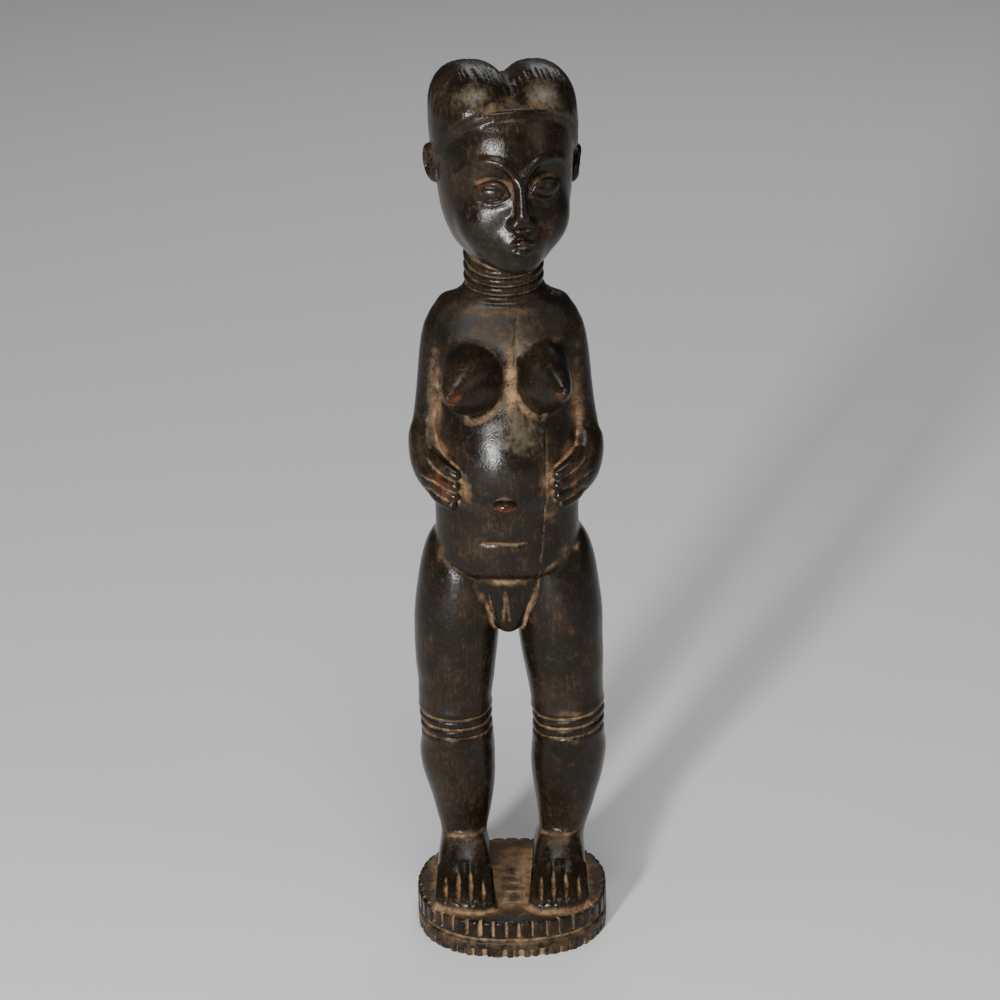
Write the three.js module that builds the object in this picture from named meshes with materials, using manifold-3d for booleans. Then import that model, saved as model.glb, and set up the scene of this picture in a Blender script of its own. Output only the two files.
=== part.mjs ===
// A standing figure of a woman on a round notched plinth, carved out of one log of dark wood.
// Millimetres, +Z up. The figure looks along -Y and its own right side is at -X.
// The origin is the middle of the plinth's underside.
import * as THREE from 'three';
import { mergeVertices } from 'three/addons/utils/BufferGeometryUtils.js';
import Module from 'manifold-3d';

const wasm = await Module();
wasm.setup();

// Driving sizes. The plinth's height is the sum of its footing, groove and rim.
const figureHeight = 419.5;     // soles to the top of the hair
const plinthRadius = 47.2;       // across its flatter sides
const plinthSquareness = 0.055;  // how much further it reaches between them, as a share of the radius
const footingHeight = 8;        // lower tier, cut by a row of fine notches that run out upward
const grooveHeight = 2.6;
const grooveDepth = 1.6;
const rimHeight = 8.4;          // upper tier, cut by a row of even notches
const rimNotches = { count: 44, width: 2.7, depth: 1.5 };
const footingNotchDepth = 1.3;

const plinthHeight = footingHeight + grooveHeight + rimHeight;

// The hair lies above a plane that falls from the forehead over the ears to the nape.
const hair = {
  proud: 1.8,
  hairline: [0, -33, 406],
  fall: 45,
  squareness: 2.5,
  masses: [
    { at: [-14.8, 0.5, 396.5], size: [19.2, 30, 23] },
    { at: [16.8, 0.5, 395.6], size: [17.2, 30, 22] },
    { at: [1, 1.5, 392.5], size: [12, 29, 17] },
  ],
};

// The figure is drawn in millimetres above the plinth, up to the top of this hair, and every length in it
// grows with figureHeight.
const drawnHeight = Math.max(...hair.masses.map(({ at, size }) => at[2] + size[2]));
const grow = figureHeight / drawnHeight;

// How deep a foot reaches into the plinth
const rooted = 3;

// The head is turned by this many degrees to the figure's left.
const headTurn = 12;

// Facets round each form
const sidesOf = {
  leg: 14,
  foot: 14,
  trunk: 20,
  buttock: 10,
  breast: 12,
  arm: 10,
  finger: 6,
  neck: 14,
  head: 20,
  hair: 12,
  line: 5,
};

// Shared shapes

function place(x, y, z) {
  return new THREE.Vector3(x * grow, y * grow, plinthHeight + z * grow);
}

// Reads a table, sorted by its first column, along a smooth curve through its rows.
function readTable(rows, at) {
  const last = rows.length - 1;
  let i = 0;
  while (i < last - 1 && at > rows[i + 1][0]) {
    i += 1;
  }
  const rowAt = (k) => rows[THREE.MathUtils.clamp(k, 0, last)];
  const [before, from, to, after] = [i - 1, i, i + 1, i + 2].map(rowAt);
  const step = to[0] - from[0];
  const t = THREE.MathUtils.clamp((at - from[0]) / step, 0, 1);
  return from.slice(1).map((value, k) => {
    const next = to[k + 1];
    const slopeIn = ((next - before[k + 1]) / (to[0] - before[0])) * step;
    const slopeOut = ((after[k + 1] - value) / (after[0] - from[0])) * step;
    const bend = t * (1 - t) * ((1 - t) * (slopeIn - next + value) - t * (slopeOut - next + value));
    return value + (next - value) * t + bend;
  });
}

// Moves every point of a three.js shape to where the function puts it.
function reshape(geometry, move) {
  const points = geometry.attributes.position;
  const point = new THREE.Vector3();
  for (let i = 0; i < points.count; i += 1) {
    point.fromBufferAttribute(points, i);
    points.setXYZ(i, ...move(point).toArray());
  }
  return geometry;
}

// An upright form of stacked oval sections, one ring of facets for each row.
// Each row: height, middle x, middle y, half width, depth in front, depth behind.
function column(rows, sides) {
  const bands = rows.length - 1;
  return reshape(new THREE.CylinderGeometry(1, 1, 1, sides, bands), (p) => {
    const [z, x, y, halfWidth, front, back] = rows[Math.round((p.y + 0.5) * bands)];
    return place(x + p.x * halfWidth, y - p.z * (p.z > 0 ? front : back), z);
  });
}

// Adds a middle to rows of height, half width, front and back.
function about([x, y], rows, proud = 0) {
  return rows.map(([z, ...reaches]) => [z, x, y, ...reaches.map((reach) => reach + proud)]);
}

// A round-ended form along a curve through the points.
// Each size: share of the way along, half width across, half thickness.
function limb(points, sizes, sides, rings, across = [1, 0, 0]) {
  const path = new THREE.CatmullRomCurve3(points.map((p) => place(...p)));
  return reshape(new THREE.SphereGeometry(1, sides, rings), (p) => {
    const share = 1 - Math.acos(THREE.MathUtils.clamp(p.y, -1, 1)) / Math.PI;
    const [half, thick] = readTable(sizes, share);
    const along = path.getTangentAt(share);
    const side = new THREE.Vector3(...across).projectOnPlane(along).normalize();
    const fromPole = Math.hypot(p.x, p.z);
    const blunt = fromPole > 1e-6 ? grow * fromPole ** -0.75 : 0;
    return path
      .getPointAt(share)
      .addScaledVector(side, p.x * half * blunt)
      .addScaledVector(side.clone().cross(along), p.z * thick * blunt);
  });
}

// An egg: middle, then half width, half depth and half height, turned about its middle by degrees.
// A squareness of 2 is a plain egg, and more makes a cushion.
function egg(middle, [wide, deep, high], sides, rings, turn = [0, 0, 0], squareness = 2) {
  const turned = new THREE.Euler(...turn.map(THREE.MathUtils.degToRad));
  const heart = place(...middle);
  return reshape(new THREE.SphereGeometry(1, sides, rings), (p) => {
    const power = p.toArray().reduce((sum, part) => sum + Math.abs(part) ** squareness, 0);
    const reach = power ** (-1 / squareness);
    const point = new THREE.Vector3(p.x * wide, -p.z * deep, p.y * high);
    return point.multiplyScalar(reach * grow).applyEuler(turned).add(heart);
  });
}

function solid(geometry) {
  geometry.deleteAttribute('normal');
  geometry.deleteAttribute('uv');
  const merged = mergeVertices(geometry, 1e-4);
  const vertProperties = merged.attributes.position.array;
  const triVerts = new Uint32Array(merged.index.array);
  return new wasm.Manifold(new wasm.Mesh({ numProp: 3, vertProperties, triVerts }));
}

function join(parts) {
  return parts.reduce((whole, part) => whole.add(part));
}

function cut(body, tools) {
  return tools.reduce((left, tool) => left.subtract(tool), body);
}

// Both sides of the body, at -X and at +X
function bothSides(make) {
  return [make(-1), make(1)].flat();
}

const upward = [0, 0, 1];

function mirror(side, [x, y, z]) {
  return [side * x, y, z];
}

// Plinth

// A slightly squared disc with a groove round it. Three facets go to each rim notch: its two sides and the
// land beside it. Every other edge between facets is cut in at the foot.
function plinth() {
  const steps = 3 * rimNotches.count;
  const step = (2 * Math.PI) / steps;
  const rimFrom = footingHeight + grooveHeight;
  const heights = [0, footingHeight, footingHeight + grooveHeight / 2, rimFrom, plinthHeight];
  const outline = [[0, 0], ...heights.map((z) => [plinthRadius, z]), [0, plinthHeight]];
  const profile = outline.map(([r, z]) => new THREE.Vector2(r, z));
  return reshape(new THREE.LatheGeometry(profile, steps).rotateX(Math.PI / 2), (p) => {
    if (Math.hypot(p.x, p.y) < plinthRadius / 2) {
      return p;
    }
    const index = Math.round(Math.atan2(p.y, p.x) / step + steps) % steps;
    const acrossNotch = (index % 3) - 1;
    const rimCut = acrossNotch ? 0 : rimNotches.depth;
    const cuts = [(index % 2) * footingNotchDepth, 0, grooveDepth, rimCut, rimCut];
    const row = heights.findIndex((z) => Math.abs(z - p.z) < 1e-3);
    const onRim = p.z > rimFrom - 1e-3;
    const edge = (acrossNotch * rimNotches.width) / (2 * plinthRadius);
    const angle = onRim ? (index - acrossNotch) * step + edge : index * step;
    const reach = (plinthRadius - cuts[row]) * (1 + plinthSquareness * Math.sin(2 * angle) ** 2);
    return new THREE.Vector3(reach * Math.cos(angle), reach * Math.sin(angle), p.z);
  });
}

// Legs and feet

// Height, left leg's middle x, right leg's, middle y, half width, front, back
const legSections = [
  [-3, -23.6, 24.6, 9, 11.5, 11.5, 12],
  [27.8, -23.6, 25.5, 9, 11.7, 12, 13],
  [36.7, -23.7, 26.6, 9, 13.6, 13.5, 15],
  [45.5, -24, 27.2, 8.5, 15.3, 15, 18],
  [54.2, -24.8, 27.8, 7.5, 17, 16, 20.5],
  [63, -25.7, 28.3, 6.5, 18.1, 17, 22],
  [72, -26, 28.9, 5, 18.5, 17.2, 22],
  [80.5, -25.6, 28.8, 3, 17.5, 17.4, 19],
  [89.6, -26.5, 28.8, 2, 16.9, 18, 17.5],
  [102, -26.6, 28, 2, 17.7, 18.5, 19],
  [111, -26, 27.2, 2, 18.6, 19.5, 21],
  [119, -25.9, 26.6, 2, 19.4, 20.5, 22.5],
  [132.5, -25.4, 25.4, 3, 20.4, 21.5, 24],
  [147, -24.7, 24.8, 3, 20.8, 21.8, 26],
  [161, -23, 23.2, 3, 20.8, 21, 27],
  [174, -21, 21.4, 3, 20.4, 19, 26],
  [185, -19.6, 20, 3, 18, 15.5, 22],
  [194, -18.5, 19, 3, 12.5, 11, 16],
];

// Two raised bands round the knee, each with a ring of facets below, on and above it
const kneeBands = { heights: [87, 92.4], half: 2.2, proud: 0.8, sunk: 0.7 };

function legRows(side) {
  const plain = legSections.map(([z, left, right, ...rest]) => [z, side < 0 ? left : right, ...rest]);
  const swollen = (z, swell) => {
    const [x, y, ...reaches] = readTable(plain, z);
    return [z, x, y, ...reaches.map((reach) => reach + swell)];
  };
  const [low, high] = kneeBands.heights;
  const between = (low + high) / 2;
  return [
    ...plain.filter(([z]) => z < low - kneeBands.half),
    swollen(low - kneeBands.half, -kneeBands.sunk),
    swollen(low, kneeBands.proud),
    swollen(between, -kneeBands.sunk),
    swollen(high, kneeBands.proud),
    swollen(high + kneeBands.half, -kneeBands.sunk),
    ...plain.filter(([z]) => z > high + kneeBands.half),
  ];
}

const foot = {
  middle: 23.4,
  heel: 27,
  tip: -36,
  curl: 5.5,         // how far the outer toes stand back
  inward: 0.3,       // where the longest toe is, as a share of the half width
  grooves: [-0.6, -0.2, 0.2, 0.6],
  grooveRun: [0.56, 0.76, 0.92, 1.05],
  grooveSize: [1.3, 2.2],
};

// Share of the way from heel to toes, half width, height
const footSections = [
  [0, 8, 14],
  [0.08, 11, 24],
  [0.28, 13, 29.5],
  [0.46, 13.4, 29],
  [0.6, 14, 20],
  [0.74, 14.9, 13],
  [0.88, 15.6, 8.4],
  [0.97, 15.6, 6.4],
  [1, 15, 3.6],
];

function footBody(side) {
  const bands = footSections.length - 1;
  return reshape(new THREE.CylinderGeometry(1, 1, 1, sidesOf.foot, bands), (p) => {
    const [share, half, high] = footSections[Math.round((0.5 - p.y) * bands)];
    const curl = foot.curl * (side * p.x + foot.inward) ** 2 * share ** 3;
    const y = THREE.MathUtils.lerp(foot.heel, foot.tip + curl, share);
    const z = p.z > 0 ? high * p.z ** 0.5 : -rooted;
    return place(side * foot.middle + p.x * half, y, z);
  });
}

// Long grooves that part the toes, sunk along the foot's upper face
function toeGrooves(side) {
  return foot.grooves.map((across) => {
    const points = foot.grooveRun.map((share) => {
      const [half, high] = readTable(footSections, share);
      const x = side * (foot.middle - across * half);
      const y = THREE.MathUtils.lerp(foot.heel, foot.tip, share);
      return [x, y, high * (1 - across ** 2) ** 0.25];
    });
    return limb(points, [[0, 0.8, 0.8], [0.5, ...foot.grooveSize], [1, ...foot.grooveSize]], 4, 5);
  });
}

function legs() {
  return bothSides((side) => [
    solid(column(legRows(side), sidesOf.leg)),
    cut(solid(footBody(side)), toeGrooves(side).map(solid)),
  ]);
}

// Trunk

// Height, half width, front, back
const trunkSections = [
  [139.4, 5.5, 12, 7],
  [142, 8.5, 13.6, 12],
  [147, 11.8, 15, 18],
  [153, 15.5, 16, 24],
  [161, 21, 17.2, 28],
  [168, 27, 18.8, 31],
  [171.5, 30, 21.8, 31.4],
  [175, 32.2, 25.4, 31.6],
  [183, 34, 27, 31],
  [190, 34.3, 27.3, 28.5],
  [197, 34.3, 27.4, 24.5],
  [205, 34.4, 28.4, 21.5],
  [210, 34.6, 30.5, 20],
  [215, 34.9, 32.8, 19.2],
  [222, 35, 33.8, 18.8],
  [231, 35, 33.6, 18.8],
  [241, 34.5, 31.5, 19.5],
  [251, 34, 28, 20.5],
  [261, 34, 24.5, 21.8],
  [272, 34.5, 22.6, 22.8],
  [280, 35, 21.8, 22.8],
  [287, 35.2, 20.8, 21.8],
  [294, 34.2, 19, 20],
  [300, 31.5, 17.2, 18.5],
  [306, 27.5, 15.8, 17.5],
  [311, 20.5, 15, 17],
  [316, 16, 14, 16.5],
];

const navel = { at: [-0.9, -33.2, 213.6], size: [5.6, 4.2, 3] };
const buttock = { at: [19, 13, 166], size: [21.5, 23.5, 27] };

function trunk() {
  return [
    column(about([0, 0], trunkSections), sidesOf.trunk),
    egg(navel.at, navel.size, 8, 5),
    ...bothSides((side) => egg(mirror(side, buttock.at), buttock.size, sidesOf.buttock, 8)),
  ];
}

// Each breast: root in the chest, a tip turned outward, and how broad it is beside the other
const breasts = [
  { root: [-9.5, -8, 271.5], tip: [-26.4, -41, 271], broad: 1 },
  { root: [12.5, -8, 272], tip: [27.6, -41, 272.5], broad: 0.9 },
];
const breastSizes = [
  [0, 14.5, 17.6],
  [0.35, 14.2, 17.2],
  [0.6, 11.4, 13.6],
  [0.85, 6.8, 7.8],
  [1, 3.6, 3.8],
];
const nippleSize = [2.3, 2.4, 2.3];

function middleOf(from, to) {
  return from.map((value, k) => (value + to[k]) / 2);
}

function breastShapes() {
  return breasts.flatMap(({ root, tip, broad }) => {
    const sizes = breastSizes.map(([share, half, thick]) => [share, half * broad, thick]);
    return [
      limb([root, middleOf(root, tip), tip], sizes, sidesOf.breast, 7),
      egg(tip, nippleSize, 6, 4),
    ];
  });
}

// Arms and hands

const upperArm = {
  points: [
    [21, 2.5, 305],
    [29.4, 2.8, 290],
    [32, 3.5, 276],
    [33.4, 4, 262],
    [34.8, 3.8, 247],
    [37.2, 2, 234],
  ],
  sizes: [[0, 9, 11], [0.12, 9.4, 12], [0.3, 9, 11.5], [0.55, 8.6, 10.5], [0.85, 9.3, 10.8]],
};
// The left elbow hangs lower than the right one by the drop.
const forearm = {
  drop: 3.5,
  points: [[36.6, 6, 242], [37.3, -2, 233], [35.6, -10, 225], [31.8, -17, 219]],
  sizes: [[0, 9, 10], [0.3, 9.2, 12.2], [0.7, 8.6, 10.4], [1, 7, 9.4]],
};
// The flat of the hand, as far as the fingertips
const palm = {
  points: [[37.4, -6, 227.5], [34.6, -13.5, 224.5], [29.4, -19.6, 221], [25, -24, 218]],
  sizes: [[0, 8.5, 5.2], [0.5, 9, 5.8], [1, 8.4, 4.8]],
};

// Each finger from knuckle to tip, the first one uppermost
const fingers = [
  { knuckle: [35, -13, 233.6], tip: [22.2, -27.4, 226] },
  { knuckle: [36.6, -12, 227.6], tip: [22.2, -27.8, 220.6] },
  { knuckle: [37, -11.5, 221.8], tip: [22.9, -27.3, 215.4] },
  { knuckle: [36.2, -11, 216.4], tip: [24.3, -26, 210.5] },
];
const fingerArch = [1.6, -2.2, 0.4];
const fingerSizes = [[0, 3, 3], [1, 2.7, 2.7]];

function armShapes(side) {
  const along = (points) => points.map((point) => mirror(side, point));
  const drop = side > 0 ? forearm.drop : 0;
  const last = forearm.points.length - 1;
  const fromElbow = forearm.points.map(([x, y, z], i) => [x, y, z - drop * (1 - i / last)]);
  const handShapes = fingers.map(({ knuckle, tip }) => {
    const arch = middleOf(knuckle, tip).map((value, k) => value + fingerArch[k]);
    return limb(along([knuckle, arch, tip]), fingerSizes, sidesOf.finger, 4, upward);
  });
  return [
    limb(along(upperArm.points), upperArm.sizes, sidesOf.arm, 10),
    limb(along(fromElbow), forearm.sizes, sidesOf.arm, 6),
    limb(along(palm.points), palm.sizes, sidesOf.finger, 4, upward),
    ...handShapes,
  ];
}

// Neck, head and hair

const neck = { middle: [0, 2], radius: 18.6, from: 299, to: 334 };
const neckRings = { count: 4, from: 305, pitch: 5, proud: 1.1, sunk: 0.7 };

function neckShape() {
  const edges = Array.from({ length: 2 * neckRings.count + 1 }, (_, i) => [
    neck.radius + (i % 2 ? neckRings.proud : -neckRings.sunk),
    neckRings.from + (i * neckRings.pitch) / 2,
  ]);
  const outline = [[0, neck.from], [neck.radius, neck.from], ...edges, [neck.radius, neck.to], [0, neck.to]];
  const profile = outline.map(([r, z]) => new THREE.Vector2(r * grow, z * grow));
  const [x, y] = neck.middle;
  const lathe = new THREE.LatheGeometry(profile, sidesOf.neck).rotateX(Math.PI / 2);
  return lathe.translate(x * grow, y * grow, plinthHeight);
}

const headMiddle = [0, -2];

// Height, half width, front, back
const headSections = [
  [325, 8, 26, 14],
  [329, 16, 32, 18],
  [335, 22.5, 34.5, 23],
  [342, 26.5, 35.6, 28],
  [350, 29.2, 36, 32],
  [360, 30.8, 36, 35.5],
  [372, 31.6, 35.5, 37.5],
  [384, 32.2, 34.4, 37.5],
  [394, 31.2, 32, 35.5],
  [402, 28, 27, 31],
  [406, 21.5, 19.5, 24],
  [409, 12, 9, 14],
];

function hairShapes() {
  return [
    column(about(headMiddle, headSections, hair.proud), sidesOf.hair),
    ...hair.masses.map(({ at, size }) => egg(at, size, sidesOf.hair, 8, [0, 0, 0], hair.squareness)),
  ];
}

function aboveHairline() {
  const room = figureHeight;
  const mark = place(...hair.hairline);
  const box = new THREE.BoxGeometry(room, room, room).translate(0, 0, room / 2);
  return box.rotateX(-THREE.MathUtils.degToRad(hair.fall)).translate(mark.x, mark.y, mark.z);
}

// Heights in the face as shares of the bare head's height, from the chin up
const face = {
  brow: 0.643,
  eyes: 0.512,
  noseBase: 0.31,
  mouth: 0.208,
  chin: 0.083,
};

// A point on the front of the bare head: how far to the side, as a share of the half width there, how high
// as a share of the head's height and a rise in millimetres, and how far in front
function onFace(aside, share, rise = 0, proud = 0) {
  const z = THREE.MathUtils.lerp(headSections[0][0], headSections.at(-1)[0], share) + rise;
  const [halfWidth, front] = readTable(headSections, z);
  const [x, y] = headMiddle;
  return [x + aside * halfWidth, y - front * Math.sqrt(1 - aside ** 2) - proud, z];
}

function noseShapes() {
  const ridge = [
    onFace(0, face.brow, -3, -1),
    onFace(0, (face.brow + face.noseBase) / 2, 0, 0.5),
    onFace(0, face.noseBase, 2.5, 2.6),
  ];
  return [
    limb(ridge, [[0, 2, 3], [0.5, 2.8, 3.4], [1, 4.2, 4.4]], 8, 6),
    ...bothSides((side) => egg(onFace(side * 0.12, face.noseBase, 1.8, 0.4), [3, 3.4, 2.4], 6, 4)),
  ];
}

function browShape(side) {
  const arch = [[0.1, -4], [0.34, 2.5], [0.62, 1.5], [0.84, -6]];
  const points = arch.map(([aside, rise]) => onFace(side * aside, face.brow, rise, -0.3));
  return limb(points, [[0, 1.6, 1.6], [0.5, 2, 1.8], [1, 1, 1]], 6, 8, [0, 0, 1]);
}

function eyeShape(side) {
  return egg(onFace(side * 0.39, face.eyes, 0, -2), [7.6, 4.4, 4.4], 8, 5, [0, 0, side * 22]);
}

function lipShape(lift) {
  const corners = [-0.28, 0.28].map((aside) => onFace(aside, face.mouth, lift * 0.3));
  const line = [corners[0], onFace(0, face.mouth, lift, 0.6), corners[1]];
  return limb(line, [[0, 1.1, 1], [0.5, 1.7, 1.8], [1, 1.1, 1]], 6, 6, [0, 0, 1]);
}

function faceShapes() {
  const chin = egg(onFace(0, face.chin, 0, -5.5), [9, 7, 6], 8, 5);
  const lips = [1.5, -1.7].map(lipShape);
  return [...noseShapes(), ...bothSides(browShape), ...bothSides(eyeShape), ...lips, chin];
}

// The left ear sits a little lower and further out than the right one.
const ears = [{ out: 33.2, height: 372.5 }, { out: 34.6, height: 367.5 }];
const earShape = { back: 4, size: [3.8, 5.6, 9.5], lean: 10 };
const earHollow = { out: 3.2, back: 2.6, size: [2, 2.8, 5.6] };

function headSolid() {
  const pivot = place(...neck.middle, neck.to);
  const turned = (geometry) => {
    const centred = geometry.translate(-pivot.x, -pivot.y, 0).rotateZ(THREE.MathUtils.degToRad(headTurn));
    return solid(centred.translate(pivot.x, pivot.y, 0));
  };
  const earAt = (side) => {
    const { out, height } = ears[side < 0 ? 0 : 1];
    const lean = [0, side * earShape.lean, 0];
    const shell = egg([side * out, earShape.back, height], earShape.size, 8, 6, lean);
    const hollow = egg([side * (out + earHollow.out), earHollow.back, height], earHollow.size, 6, 4);
    return cut(turned(shell), [turned(hollow)]);
  };
  return join([
    turned(column(about(headMiddle, headSections), sidesOf.head)),
    join(hairShapes().map(turned)).intersect(turned(aboveHairline())),
    ...faceShapes().map(turned),
    ...bothSides(earAt),
  ]);
}

// Carved lines

// Each line: points on the skin, half width
const carvedLines = [
  { points: [[-14, -25, 191.6], [-1, -27.2, 190.6], [12, -25.6, 192.2]], half: 1.1 },
  { points: [[-1.4, -17.2, 164], [-1.2, -14.6, 153], [-1, -11.4, 142]], half: 1.5 },
];

function lineShape({ points, half }) {
  return limb(points, [[0, half, half], [1, half, half]], sidesOf.line, 7);
}

function carvedFigure() {
  const body = [plinth(), ...trunk(), ...breastShapes(), ...bothSides(armShapes), neckShape()].map(solid);
  const whole = join([...body, ...legs(), headSolid()]);
  return cut(whole, carvedLines.map((line) => solid(lineShape(line))));
}

// The finished solid as a mesh

const darkWood = new THREE.MeshStandardMaterial({ color: 0x2b2117, roughness: 0.35, metalness: 0 });

function meshOf(name, shape, material) {
  const { vertProperties, triVerts } = shape.getMesh();
  const geometry = new THREE.BufferGeometry();
  geometry.setAttribute('position', new THREE.BufferAttribute(vertProperties, 3));
  geometry.setIndex(new THREE.BufferAttribute(triVerts, 1));
  geometry.computeVertexNormals();
  const mesh = new THREE.Mesh(geometry, material);
  mesh.name = name;
  return mesh;
}

const group = new THREE.Group();
group.add(meshOf('carved_figure', carvedFigure(), darkWood));

export default group;
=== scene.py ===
import random
from math import cos, pi, radians, sin, sqrt, tan

import bpy
import numpy as np
import openvdb
from mathutils import Matrix, Vector
from mathutils.bvhtree import BVHTree


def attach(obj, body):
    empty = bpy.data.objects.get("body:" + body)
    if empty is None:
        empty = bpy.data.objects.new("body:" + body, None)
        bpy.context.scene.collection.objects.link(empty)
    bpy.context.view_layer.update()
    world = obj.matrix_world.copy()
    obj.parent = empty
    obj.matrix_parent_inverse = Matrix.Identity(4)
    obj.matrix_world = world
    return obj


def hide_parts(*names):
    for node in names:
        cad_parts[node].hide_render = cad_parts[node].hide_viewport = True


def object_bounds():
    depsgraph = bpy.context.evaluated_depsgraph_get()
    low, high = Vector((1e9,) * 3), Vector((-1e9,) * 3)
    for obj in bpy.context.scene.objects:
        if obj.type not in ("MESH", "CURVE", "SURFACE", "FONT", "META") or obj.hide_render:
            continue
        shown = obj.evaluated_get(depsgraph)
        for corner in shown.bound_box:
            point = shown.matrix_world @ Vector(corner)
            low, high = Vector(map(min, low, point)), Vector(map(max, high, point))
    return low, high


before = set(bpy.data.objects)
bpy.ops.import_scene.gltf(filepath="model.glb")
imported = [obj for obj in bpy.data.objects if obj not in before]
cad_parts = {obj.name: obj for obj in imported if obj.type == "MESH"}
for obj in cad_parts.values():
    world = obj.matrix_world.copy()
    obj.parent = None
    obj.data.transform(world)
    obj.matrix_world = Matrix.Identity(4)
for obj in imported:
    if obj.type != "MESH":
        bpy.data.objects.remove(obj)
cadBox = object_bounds()

# Lengths are in millimetres until the mesh is finished. In the tables of the figure, heights are counted
# from the plinth's top. The figure looks along -Y.
plinth = {
    "radius": 46.9, "height": 19, "squareness": 0.055,
    "edge": 0.9,  # how far its edges are worn round
    "grooveLow": 8, "grooveHigh": 10.6, "grooveDepth": 1.7,
    "notches": [
        # count, low, high, width, depth, unevenness, seed
        (44, 10.9, 19.3, 2.7, 1.6, 0.35, 3),
        (62, -4.0, 4.2, 2.6, 1.3, 0.9, 5),
    ],
}
top = plinth["height"]
skinStep = 0.6  # spacing of the grid that the skin is drawn from
farAway = 12.0  # distances past this aren't told apart
mostFaces = 196000  # triangles left in the finished figure


def placed(name, data):  # a new object in the scene
    thing = bpy.data.objects.new(name, data)
    bpy.context.scene.collection.objects.link(thing)
    return thing


# Forms in space: each one gives the distance to its surface, and a box that it fits in

def readRows(rows, at):
    rows = np.array(rows, float)
    keys, values = rows[:, 0], rows[:, 1:]
    slopes = np.gradient(values, keys, axis=0)
    i = np.clip(np.searchsorted(keys, at) - 1, 0, len(keys) - 2)
    h = keys[i + 1] - keys[i]
    t = np.clip((np.asarray(at) - keys[i]) / h, 0, 1)[..., None]
    h = h[..., None]
    return ((2 * t**3 - 3 * t**2 + 1) * values[i] + (t**3 - 2 * t**2 + t) * h * slopes[i]
            + (3 * t**2 - 2 * t**3) * values[i + 1] + (t**3 - t**2) * h * slopes[i + 1])


def smoothMin(a, b, blend):
    h = np.clip(0.5 + 0.5 * (b - a) / blend, 0, 1)
    return b + (a - b) * h - blend * h * (1 - h)


def smoothMax(a, b, blend):
    return -smoothMin(-a, -b, blend)


def ovalDistance(place, size):  # from an oval or an egg
    k0 = np.sqrt(sum((p / s) ** 2 for p, s in zip(place, size)))
    k1 = np.sqrt(sum((p / s**2) ** 2 for p, s in zip(place, size)))
    return k0 * (k0 - 1) / np.maximum(k1, 1e-4)


def dot(a, b):
    return sum(p * q for p, q in zip(a, b))


# An upright form of oval sections: height, middle x, middle y, half width, front, back
def column(rows, swell=None):
    rows = np.array(rows, float)
    reach = rows[:, 3:].max() + 6
    low = rows[:, [1, 2, 0]].min(0) - (reach, reach, 6)
    high = rows[:, [1, 2, 0]].max(0) + (reach, reach, 6)

    def shape(x, y, z):
        cx, cy, half, front, back = np.moveaxis(readRows(rows, z), -1, 0)
        dx, dy = x - cx, y - cy
        flat = ovalDistance((dx, dy), (half, np.where(dy < 0, front, back)))
        if swell is not None:
            flat = flat - swell(dx, z)
        return smoothMax(flat, np.maximum(rows[0, 0] - z, z - rows[-1, 0]), 1.5)

    return (low, high), shape


# An egg: middle, then half width, depth and height, turned about Z and leant about Y
def egg(middle, size, turn=0.0, lean=0.0, power=2.0):
    middle, size = np.array(middle, float), np.array(size, float)
    a, b = radians(turn), radians(lean)
    reach = size.max() * 1.25 + 6

    def shape(x, y, z):
        dx, dy, dz = x - middle[0], y - middle[1], z - middle[2]
        u, v = dx * cos(a) + dy * sin(a), dy * cos(a) - dx * sin(a)
        place = u * cos(b) - dz * sin(b), v, dz * cos(b) + u * sin(b)
        if power == 2.0:
            return ovalDistance(place, size)
        k = sum(np.abs(p / s) ** power for p, s in zip(place, size)) ** (1 / power)
        return (k - 1) * size.min()

    return (middle - reach, middle + reach), shape


def alongCurve(points, count):
    points = np.array(points, float)
    keys = np.r_[0, np.cumsum(np.linalg.norm(np.diff(points, axis=0), axis=1))]
    return readRows(np.c_[keys / keys[-1], points], np.linspace(0, 1, count))


# A round-ended form along a curve. Each size: share of the way, half width, half thickness
def limb(points, sizes, across=(1, 0, 0), count=12, fine=60):
    path = alongCurve(points, fine)
    length = np.linalg.norm(np.diff(path, axis=0), axis=1).sum()
    ends = [0.8 * min(row[1:]) / length for row in (sizes[0], sizes[-1])]
    share = np.linspace(ends[0], 1 - ends[1], count)
    path = readRows(np.c_[np.linspace(0, 1, fine), path], share)
    sizes = readRows(sizes, share)
    reach = sizes.max() + 6

    def shape(x, y, z):
        nearest = None
        for a, b, from_, to in zip(path, path[1:], sizes, sizes[1:]):
            length = np.linalg.norm(b - a)
            t = (b - a) / length
            side = np.array(across) - np.dot(across, t) * t
            side /= np.linalg.norm(side)
            q = (x - a[0], y - a[1], z - a[2])
            s = dot(q, t)
            h = np.clip(s / length, 0, 1)
            half, thick = (from_[k] + (to[k] - from_[k]) * h for k in (0, 1))
            small = np.minimum(half, thick)
            u, v, w = dot(q, side) / half, dot(q, np.cross(side, t)) / thick, (s - h * length) / small
            d = (np.sqrt(u**2 + v**2 + w**2) - 1) * small
            nearest = d if nearest is None else np.minimum(nearest, d)
        return nearest

    return (path.min(0) - reach, path.max(0) + reach), shape


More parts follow.
